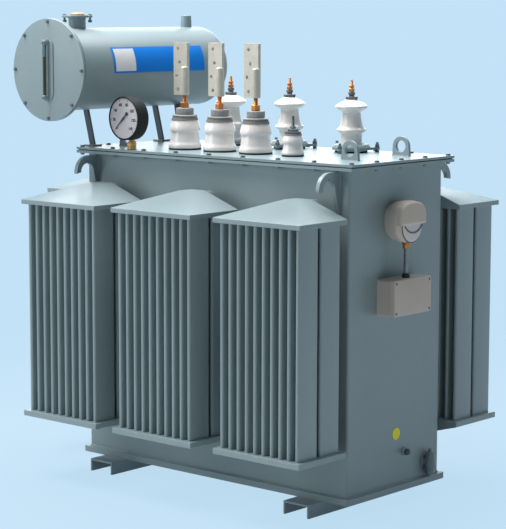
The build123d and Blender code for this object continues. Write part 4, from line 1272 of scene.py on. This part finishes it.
neutral_washer = [(0, 0), (0.0245, 0), (0.0255, 0.003), (0.0255, 0.006), (0, 0.006)]
neutral_cap = [(0, 0.005), (0.0175, 0.005), (0.0175, 0.013), (0.016, 0.015), (0, 0.015)]
neutral_set = joined(
    lathe(neutral_washer, 0.001, segments=64), lathe(neutral_cap, 0.001, segments=64),
    lifted(nut(0.017, 0.008), 0.015), threaded(0.0048, 0.022, 0.055, 0.0015),
)
neutral_form = copied(neutral_set, [neutral_top])
piece("neutral_stud_set", neutral_form, zinc_plate, "tinned_metal", ["neutral_terminal"], sharp=30)

# %% Flag terminals
flags_low, flags_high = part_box("lv_flags")
FLAG_WIDTH, FLAG_THICK, FLAG_RIGHT = 0.060, 0.012, 0.008
FLAG_HEIGHT = flags_high.z - flags_low.z
BARREL_RADIUS, BARREL_HEIGHT, FLAG_BACK = 0.013, 0.094, 0.008
HOLE_RADIUS, HOLE_PITCH, HOLE_START = 0.006, 0.0445, 0.019
hole_x = [-0.032, -0.039, -0.025, -0.032]
flag_rim = rounded_box(FLAG_WIDTH, FLAG_HEIGHT, 0.002, 4) + (FLAG_RIGHT - FLAG_WIDTH / 2, FLAG_HEIGHT / 2)
flag_holes = [hole((x, HOLE_START + number * HOLE_PITCH), HOLE_RADIUS) for number, x in enumerate(hole_x)]
flag_plate = cut_plate([flag_rim, *flag_holes], FLAG_THICK)
flag_places = lv * (1, 1, 0) + flags_low.z * UP
blades = laid(flag_plate, RIGHT, UP, -BACK, flag_places + FLAG_BACK * BACK)
barrel = lathe([
    (0, 0), (BARREL_RADIUS, 0), (BARREL_RADIUS, BARREL_HEIGHT - 0.004),
    (BARREL_RADIUS - 0.003, BARREL_HEIGHT), (0, BARREL_HEIGHT),
], 0.0020, 5, flag_places)
piece("flag_terminals", joined(blades, barrel), tinned_metal, "tinned_metal", ["lv_flags"], rounding=0.0008)
print("flag height", round(FLAG_HEIGHT, 4))

# %% [markdown]
# ## High-voltage bushings
# Each tall bushing has two sheds shaped like lenses, with a neck between them that flares downwards.
# A clamping ring holds its foot, and three arms reach out from the ring to bolts that stand on the
# cover. The profile is one list of points with generous rounding.

# %% Porcelain of the high row
hv = row_places("hv_porcelain", 0.0565, deck)
tall_profile = np.vstack([
    rounded([(0, 0.005), (0.053, 0.005), (0.053, 0.020), (0.0345, 0.020), (0.0345, 0.0600)], 0.002, 4),
    rounded([(0.0345, 0.0600), (0.0400, 0.0628), (0.0478, 0.0695), (0.0480, 0.0740), (0.0405, 0.0790),
             (0.0368, 0.0860), (0.0325, 0.1050), (0.0295, 0.1275)], 0.006, 6),
    rounded([(0.0295, 0.1275), (0.0300, 0.1305), (0.0400, 0.1355), (0.0528, 0.1445), (0.0530, 0.1490),
             (0.0380, 0.1600), (0.0240, 0.1655), (0.0210, 0.1700), (0, 0.1700)], 0.005, 7),
])
tall = turned(tall_profile, hv, segments=96)
piece("hv_insulators", tall, white_glaze, "white_porcelain", ["hv_porcelain"], sharp=60)

# %% Clamp rings, arms and their bolts
ARM_ANGLES = (42, 162, 282)
ARM_REACH, ARM_LEVEL, ARM_THICK = 0.084, 0.008, 0.008
ring_profile = rounded([
    (0.0533, 0.008), (0.062, 0.008), (0.062, 0.017), (0.056, 0.026), (0.042, 0.0275), (0.042, 0.0205),
    (0.0533, 0.0205), (0.0533, 0.008),
], 0.002, 4)
arm_steps = arc((ARM_REACH, 0), 0.008, -90, 90, 12)
arm_outline = np.vstack([[0.054, -0.015], [0.064, -0.012], arm_steps, [0.064, 0.012], [0.054, 0.015]])
arm = copied(raised(arm_outline, [0, ARM_THICK]), [[0, 0, ARM_LEVEL]])
clamp_form = joined(turned(ring_profile, segments=72), fanned(arm, ARM_ANGLES))
piece("clamp_rings", copied(clamp_form, hv), body_enamel, "cast_clamp", ["hv_clamps"], rounding=0.0010)

arm_tips = on_circle(ARM_REACH, 3, radians(ARM_ANGLES[0]))
arm_bolt = joined(
    lifted(nut(0.013, 0.008), ARM_LEVEL + ARM_THICK + 0.0015),
    turned([(0, 0), (0.0045, 0), (0.0045, 0.032), (0.0035, 0.033), (0, 0.033)], segments=20),
    turned(rod(0.0085, 0.016, 0.0175), segments=24),
    lifted(nut(0.013, 0.006), 0.0),
)
tip_places = (hv[:, None] + arm_tips[None]).reshape(-1, 3)
piece("clamp_bolts", copied(arm_bolt, tip_places), zinc_plate, "plated_bolt", sharp=30)

# %% Terminals of the high row
hv_top = hv + 0.170 * UP
top_washer = [(0, 0), (0.0185, 0), (0.0198, 0.003), (0.0198, 0.0085), (0.018, 0.0095), (0, 0.0095)]
grey_set = joined(
    lathe(top_washer, 0.001, segments=64), turned(rod(0.0085, 0.009, 0.016), segments=40),
    lifted(nut(0.0205, 0.009), 0.015),
)
piece("hv_washers", copied(grey_set, hv_top), dark_cast, "grey_cap", sharp=30)
copper_set = joined(
    lifted(nut(0.0170, 0.011), 0.025), lifted(nut(0.0150, 0.009), 0.0375),
    threaded(0.0045, 0.020, 0.060, 0.0018),
    lathe([(0, 0.059), (0.0040, 0.059), (0.0022, 0.064), (0, 0.064)], 0.001, 3, segments=24),
)
piece("hv_stud_set", copied(copper_set, hv_top), copper, "copper", ["hv_terminals"], sharp=30)

# %% Rubber rings under the bushings
LV_RING, NEUTRAL_RING, HV_RING, RING_BULGE, RING_HEIGHT = 0.0535, 0.0345, 0.052, 0.0008, 0.005
rubber = [
    lathe([(0, 0), (r, 0), (r + RING_BULGE, RING_HEIGHT / 2), (r, RING_HEIGHT), (0, RING_HEIGHT)], 0.001, 3,
          places, segments=64)
    for places, r in ((lv, LV_RING), ([neutral], NEUTRAL_RING), (hv, HV_RING))
]
piece("bushing_rings", joined(*rubber), black_rubber, "black_rubber", ["bushing_gaskets"])

# %% [markdown]
# ## Relay, conduit and box
# These hang on the right-hand wall, so they are drawn with x across the wall, y up and z out of it,
# and laid along Y, Z and X. The relay is helmet-shaped: a rounded case, and a visor that stands
# further out over the upper half. Its outline is a superellipse, with one power above its middle and
# another below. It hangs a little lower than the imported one.

# %% Relay
wall = tank_high.x
relay_low, relay_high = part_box("wall_relay")
relay = middle("wall_relay")
RELAY_DEPTH = 0.058
VISOR = relay_high.x - wall - RELAY_DEPTH
relay_half_width = (relay_high.y - relay_low.y) / 2
relay_half_height = (relay_high.z - relay_low.z) / 2


def signed_power(value, power):
    """sign(v) · |v|^p"""
    return np.sign(value) * np.abs(value) ** power


def superellipse(half_width, half_height, power_top, power_foot, steps=96):
    """Points (w |cos a|^(2/p), h |sin a|^(2/p)) with one power above the middle and another below."""
    a = np.arange(steps) * 2 * pi / steps
    power = np.where(np.sin(a) >= 0, power_top, power_foot)
    x = half_width * signed_power(np.cos(a), 2 / power)
    y = half_height * signed_power(np.sin(a), 2 / power)
    return np.column_stack([x, y])


def on_end_wall(form, y, z, out=0.0):
    """A form laid on the right wall about a point."""
    return laid(form, BACK, UP, RIGHT, [[wall + out, y, z]])


TOP_POWER, FOOT_POWER = 2.8, 2.4
helmet = superellipse(relay_half_width, relay_half_height, TOP_POWER, FOOT_POWER)
dome = np.radians(np.linspace(0, 90, 9))
ROUND, WALL_INSET = 0.014, 0.010
case_heights = np.r_[0, 0.012, 0.030, RELAY_DEPTH - ROUND + ROUND * np.sin(dome)]
case_insets = np.r_[WALL_INSET, 0.5 * WALL_INSET, 0.001, ROUND * (1 - np.cos(dome))]
case = raised(helmet, case_heights, case_insets)

VISOR_FOOT, VISOR_ROUND, RELAY_DROP = -0.012, 0.010, 0.007
WINDOW_RADIUS, WINDOW_SHIFT, WINDOW_DROP = 0.048, 0.004, 0.015
angle = np.radians(np.linspace(-9, 189, 80))
visor_x = signed_power(np.cos(angle), 2 / TOP_POWER) * relay_half_width
visor_y = signed_power(np.sin(angle), 2 / TOP_POWER) * relay_half_height
visor_rim = np.column_stack([visor_x, np.maximum(visor_y, VISOR_FOOT)])
visor_heights = np.r_[0.030, RELAY_DEPTH + VISOR - VISOR_ROUND + VISOR_ROUND * np.sin(dome)]
visor_insets = np.r_[0.0008, 0.0030 + VISOR_ROUND * (1 - np.cos(dome))]
visor = raised(visor_rim, visor_heights, visor_insets)
relay_level = relay[2] - RELAY_DROP
piece("relay_case", on_end_wall(joined(case, visor), relay[1], relay_level), taupe_housing, "grey_housing",
      ["wall_relay"], sharp=45)

window = lathe([
    (0, 0), (WINDOW_RADIUS, 0), (WINDOW_RADIUS, 0.004), (WINDOW_RADIUS - 0.004, 0.007), (0, 0.0085),
], 0.002, segments=96)
window_place = (relay[1] + WINDOW_SHIFT, relay_level - WINDOW_DROP, RELAY_DEPTH - 0.001)
piece("relay_window", on_end_wall(window, *window_place), window_grey, "grey_housing")
groove_ring = turned(sleeve(WINDOW_RADIUS, WINDOW_RADIUS + 0.0035, 0, 0.0018), segments=96)
CRESCENT_RADIUS, CRESCENT_WIDTH, CRESCENT_RISE = 0.0567, 0.0045, 0.0350
outer_arc = arc((0, CRESCENT_RISE), CRESCENT_RADIUS, 214, 326, 32)
inner_arc = arc((0, CRESCENT_RISE), CRESCENT_RADIUS - CRESCENT_WIDTH, 324, 216, 32)
crescent = copied(raised(np.vstack([outer_arc, inner_arc]), [0, 0.0022]), [[0, 0, 0.0072]])
piece("relay_groove", on_end_wall(joined(groove_ring, crescent), *window_place), window_dark, "grey_housing")

# %% Conduit and glands
conduit_low, conduit_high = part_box("relay_conduit")
conduit = middle("relay_conduit")
axis_place = [[conduit[0], conduit[1], 0]]
GLAND, UPPER_GLAND = 0.014, 0.026
CORRUGATION, COLLAR_SHARE = 0.0042, 0.45
hose_start, hose_end = conduit_low.z + GLAND - 0.003, conduit_high.z - UPPER_GLAND + 0.003
h = np.linspace(hose_start, hose_end, 8 * int((hose_end - hose_start) / CORRUGATION))
r = 0.0070 + 0.0010 * np.cos(2 * pi * (h - hose_start) / CORRUGATION)
hose = turned(np.column_stack([np.r_[0, r, 0], np.r_[hose_start, h, hose_end]]), axis_place, segments=32)
piece("conduit_hose", hose, conduit_steel, "conduit_steel", ["relay_conduit"], sharp=80)


def gland(height, collar):
    """A hexagon with a round collar that grips the hose."""
    grip, top = height * COLLAR_SHARE, height * 0.5
    collar_profile = [(0, 0), (collar, 0), (collar, grip), (0.0085, top), (0, top)]
    hexagonal = lifted(nut(0.024, height * (1 - COLLAR_SHARE)), grip)
    return joined(hexagonal, lathe(collar_profile, 0.0008, 3, segments=32))


upper_gland = copied(gland(UPPER_GLAND, 0.0108), [[conduit[0], conduit[1], conduit_high.z - UPPER_GLAND]])
lower_gland = laid(gland(GLAND, 0.0105), RIGHT, BACK, -UP, [[conduit[0], conduit[1], conduit_low.z + GLAND]])
piece("conduit_upper_gland", upper_gland, copper, "copper", sharp=30)
piece("conduit_lower_gland", lower_gland, black_rubber, "black_rubber", sharp=30)

# %% Terminal box
box_low, box_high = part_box("terminal_box")
box = middle("terminal_box")
BOX_WIDTH, BOX_HEIGHT = box_high.y - box_low.y, box_high.z - box_low.z
BOX_DEPTH, LID_DEPTH, SEAM = 0.048, 0.020, 0.0015
box_outline = rounded_box(BOX_WIDTH, BOX_HEIGHT, 0.007, 8)
box_body = raised(box_outline, [0, BOX_DEPTH - SEAM - 0.001, BOX_DEPTH - SEAM], [0, 0, 0.001])
box_seam = raised(box_outline, [BOX_DEPTH - 2 * SEAM, BOX_DEPTH + SEAM], [0.002, 0.002])
lid_top = BOX_DEPTH + LID_DEPTH
box_lid = raised(box_outline, [BOX_DEPTH, BOX_DEPTH + 0.001, lid_top - 0.003, lid_top - 0.001, lid_top],
                 [0.001, 0, 0, 0.001, 0.003])
piece("box_housing", on_end_wall(joined(box_body, box_seam, box_lid), box[1], box[2]), taupe_housing,
      "grey_housing", ["terminal_box"], sharp=30)
SCREW_INSET = 0.010
corner_x = [-BOX_WIDTH / 2 + SCREW_INSET, BOX_WIDTH / 2 - SCREW_INSET]
corner_y = [-BOX_HEIGHT / 2 + SCREW_INSET, BOX_HEIGHT / 2 - SCREW_INSET]
corners = np.stack(np.meshgrid(corner_x, corner_y, [lid_top - 0.001]), -1).reshape(-1, 3)
box_screw = lathe([(0, 0), (0.0048, 0), (0.0048, 0.0012), (0, 0.0022)], 0.0006, 3, segments=20)
piece("box_screws", on_end_wall(copied(box_screw, corners), box[1], box[2]), dark_cast, "plated_bolt")

# %% [markdown]
# ## Earth terminal, disc and drain valve
# Low on the same wall are the earth bolt on its welded boss, a plain yellow disc above it, and the
# drain valve: a flange, an upright body, a bonnet with a square spindle, and a plugged outlet below.

# %% Earth terminal and disc
earth = middle("earth_terminal")
EARTH_BOSS = 0.007
earth_form = joined(
    lathe(rod(0.014, 0, EARTH_BOSS), 0.0012, 4, segments=40),
    turned(rod(0.0115, EARTH_BOSS, EARTH_BOSS + 0.002), segments=32),
)
painted("earth_boss", on_end_wall(earth_form, earth[1], earth[2]), ["earth_terminal"], sharp=30)
earth_stud = joined(nut(0.019, 0.011), threaded(0.0045, -0.002, 0.015, 0.0018))
earth_bolt = lifted(earth_stud, EARTH_BOSS + 0.002)
piece("earth_bolt", on_end_wall(earth_bolt, earth[1], earth[2]), dark_enamel, "plated_bolt", sharp=30)

DISC_Y, DISC_Z, MARK_RADIUS = 0.009, 0.225, 0.019
disc_face = lathe(rod(MARK_RADIUS, 0, 0.0010), 0.0003, 3, segments=64)
piece("yellow_disc", on_end_wall(disc_face, DISC_Y, DISC_Z), yellow_enamel, "tank_paint")
rim_inner = MARK_RADIUS - 0.0022
disc_rim = turned(sleeve(rim_inner, MARK_RADIUS, 0.0009, 0.0016), segments=64)
piece("disc_rim", on_end_wall(disc_rim, DISC_Y, DISC_Z), yellow_enamel, "tank_paint")

# %% Drain valve
valve_low, valve_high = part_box("drain_valve")
valve_y = (valve_low.y + valve_high.y) / 2
VALVE_LEVEL = 0.112
FLANGE_RADIUS, FLANGE_THICK, NECK, NECK_LENGTH = 0.030, 0.006, 0.013, 0.012
neck_end = FLANGE_THICK + NECK_LENGTH
flange_form = lathe([
    (0, 0), (FLANGE_RADIUS, 0), (FLANGE_RADIUS, FLANGE_THICK), (NECK + 0.004, FLANGE_THICK),
    (NECK, FLANGE_THICK + 0.004), (NECK, neck_end), (0, neck_end),
], 0.0015, segments=56)
valve_flange = on_end_wall(flange_form, valve_y, VALVE_LEVEL)
body_x = wall + neck_end
body_bottom = VALVE_LEVEL - 0.027
body_form = lathe([
    (0, -0.016), (0.011, -0.016), (0.014, -0.014), (0.014, 0), (0.0160, 0.004), (0.0175, 0.012),
    (0.0175, 0.034), (0.0150, 0.041), (0.0145, 0.044), (0.012, 0.046), (0.012, 0.054), (0.009, 0.057),
    (0, 0.057),
], 0.0025, 5, segments=56)
spindle = raised(rounded_box(0.009, 0.009, 0.001, 3), [0.055, 0.067, 0.068], [0, 0, 0.001])
bonnet_nut = lifted(nut(0.027, 0.008), 0.044)
upright = copied(joined(body_form, spindle, bonnet_nut), [[body_x, valve_y, body_bottom]])
piece("valve_body", joined(valve_flange, upright), valve_enamel, "valve_brass", ["drain_valve"], sharp=35)
flange_bolts = laid(screw(0.010, 0.0065, 0.003, 0.003), BACK, UP, RIGHT,
                    np.array([wall + FLANGE_THICK, valve_y, VALVE_LEVEL])
                    + on_circle(0.0225, 4, pi / 4)[:, [2, 0, 1]])
piece("valve_bolts", flange_bolts, dark_enamel, "plated_bolt", sharp=30)
plug = laid(nut(0.019, 0.010), RIGHT, BACK, -UP, [[body_x, valve_y, body_bottom - 0.006]])
piece("valve_plug", plug, cast_grey, "valve_brass", sharp=30)

# %% [markdown]
# ## Welds
# Fillet welds join the tank to its rim and base, the necks to the wall, the hooks and lugs to their
# plates, and the drum to its ring and its end. A weld is a thin bead with a fine ripple along it. All
# are one piece.

# %% Weld beads
STEP = 0.0015
TANK_FOOT, TANK_RIM, DRUM_RING, DRUM_END = 0.0035, 0.0030, 0.0028, 0.0020
HOOK_SIDE, LUG_FOOT, NECK_WELD = 0.0025, 0.0022, 0.003


def straight(start, end):
    """Points every STEP along a line."""
    start, end = np.asarray(start, float), np.asarray(end, float)
    count = max(2, int(np.linalg.norm(end - start) / STEP))
    return start + (end - start) * np.linspace(0, 1, count)[:, None]


def loop_round(low, high, level, corner=0.008):
    """A closed path round a rounded rectangle on a level."""
    outline = rounded_box(high.x - low.x, high.y - low.y, corner, 6)
    outline = np.vstack([outline, outline[:1]])
    parts = [straight(a, b)[:-1] for a, b in zip(outline[:-1], outline[1:])]
    flat = np.vstack(parts) + ((low.x + high.x) / 2, (low.y + high.y) / 2)
    return np.column_stack([flat, np.full(len(flat), level)])


def round_weld(centre, across, up, radius):
    """A closed circular path about a centre in the plane of two directions."""
    count = max(48, int(2 * pi * radius / STEP))
    a = np.arange(count) / count * 2 * pi
    return np.asarray(centre) + radius * (np.cos(a)[:, None] * across + np.sin(a)[:, None] * up)


beads = [
    bead(loop_round(tank_low, tank_high, tank_low.z), TANK_FOOT),
    bead(loop_round(tank_low, tank_high, rim_low.z), TANK_RIM),
    bead(round_weld(drum_axis + (drum_front + 2 * PLATE) * BACK, RIGHT, UP, drum_radius), DRUM_RING),
    bead(round_weld(drum_axis + end_low.y * BACK, RIGHT, UP, drum_radius - 0.0012), DRUM_END),
]
for x in hook_x:
    for wall_y in (tank_low.y, tank_high.y):
        for side in (-1, 1):
            edge = x + side * HOOK_THICK / 2
            path = straight((edge, wall_y, hooks_low.z), (edge, wall_y, hooks_high.z))
            beads.append(bead(path, HOOK_SIDE, closed=False))
for x, y, z in lug_places:
    for side in (-1, 1):
        edge = y + side * LUG_THICK / 2
        path = straight((x - LUG_BASE / 2, edge, z), (x + LUG_BASE / 2, edge, z))
        beads.append(bead(path, LUG_FOOT, closed=False))
for radiator in radiators:
    low, high = (np.array(corner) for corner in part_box(f"{radiator}_headers"))
    tubes_low, tubes_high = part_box(f"{radiator}_tubes")
    centre = (low + high) / 2
    levels = ((tubes_high.z + UPPER_RIM + UPPER_NECK, UPPER_NECK), (tubes_low.z - LOWER_RIM, LOWER_NECK))
    for level, radius in levels:
        if radiator.startswith("radiator_end"):
            beads.append(bead(round_weld((tank_low.x, centre[1], level), BACK, UP, radius), NECK_WELD))
        else:
            wall_y = tank_high.y if centre[1] > 0 else tank_low.y
            beads.append(bead(round_weld((centre[0], wall_y, level), RIGHT, UP, radius), NECK_WELD))
painted("weld_beads", joined(*beads), sharp=180)
print("weld beads", len(beads))

# %% [markdown]
# ## Count and finish
# The number of pieces and of faces is printed, with the largest piece. The triangle count keeps the
# whole object light enough to export.

# %% Face count and the closing line
largest = max(made, key=made.get)
print("pieces", len(made), "faces", sum(made.values()), "largest", largest, made[largest])
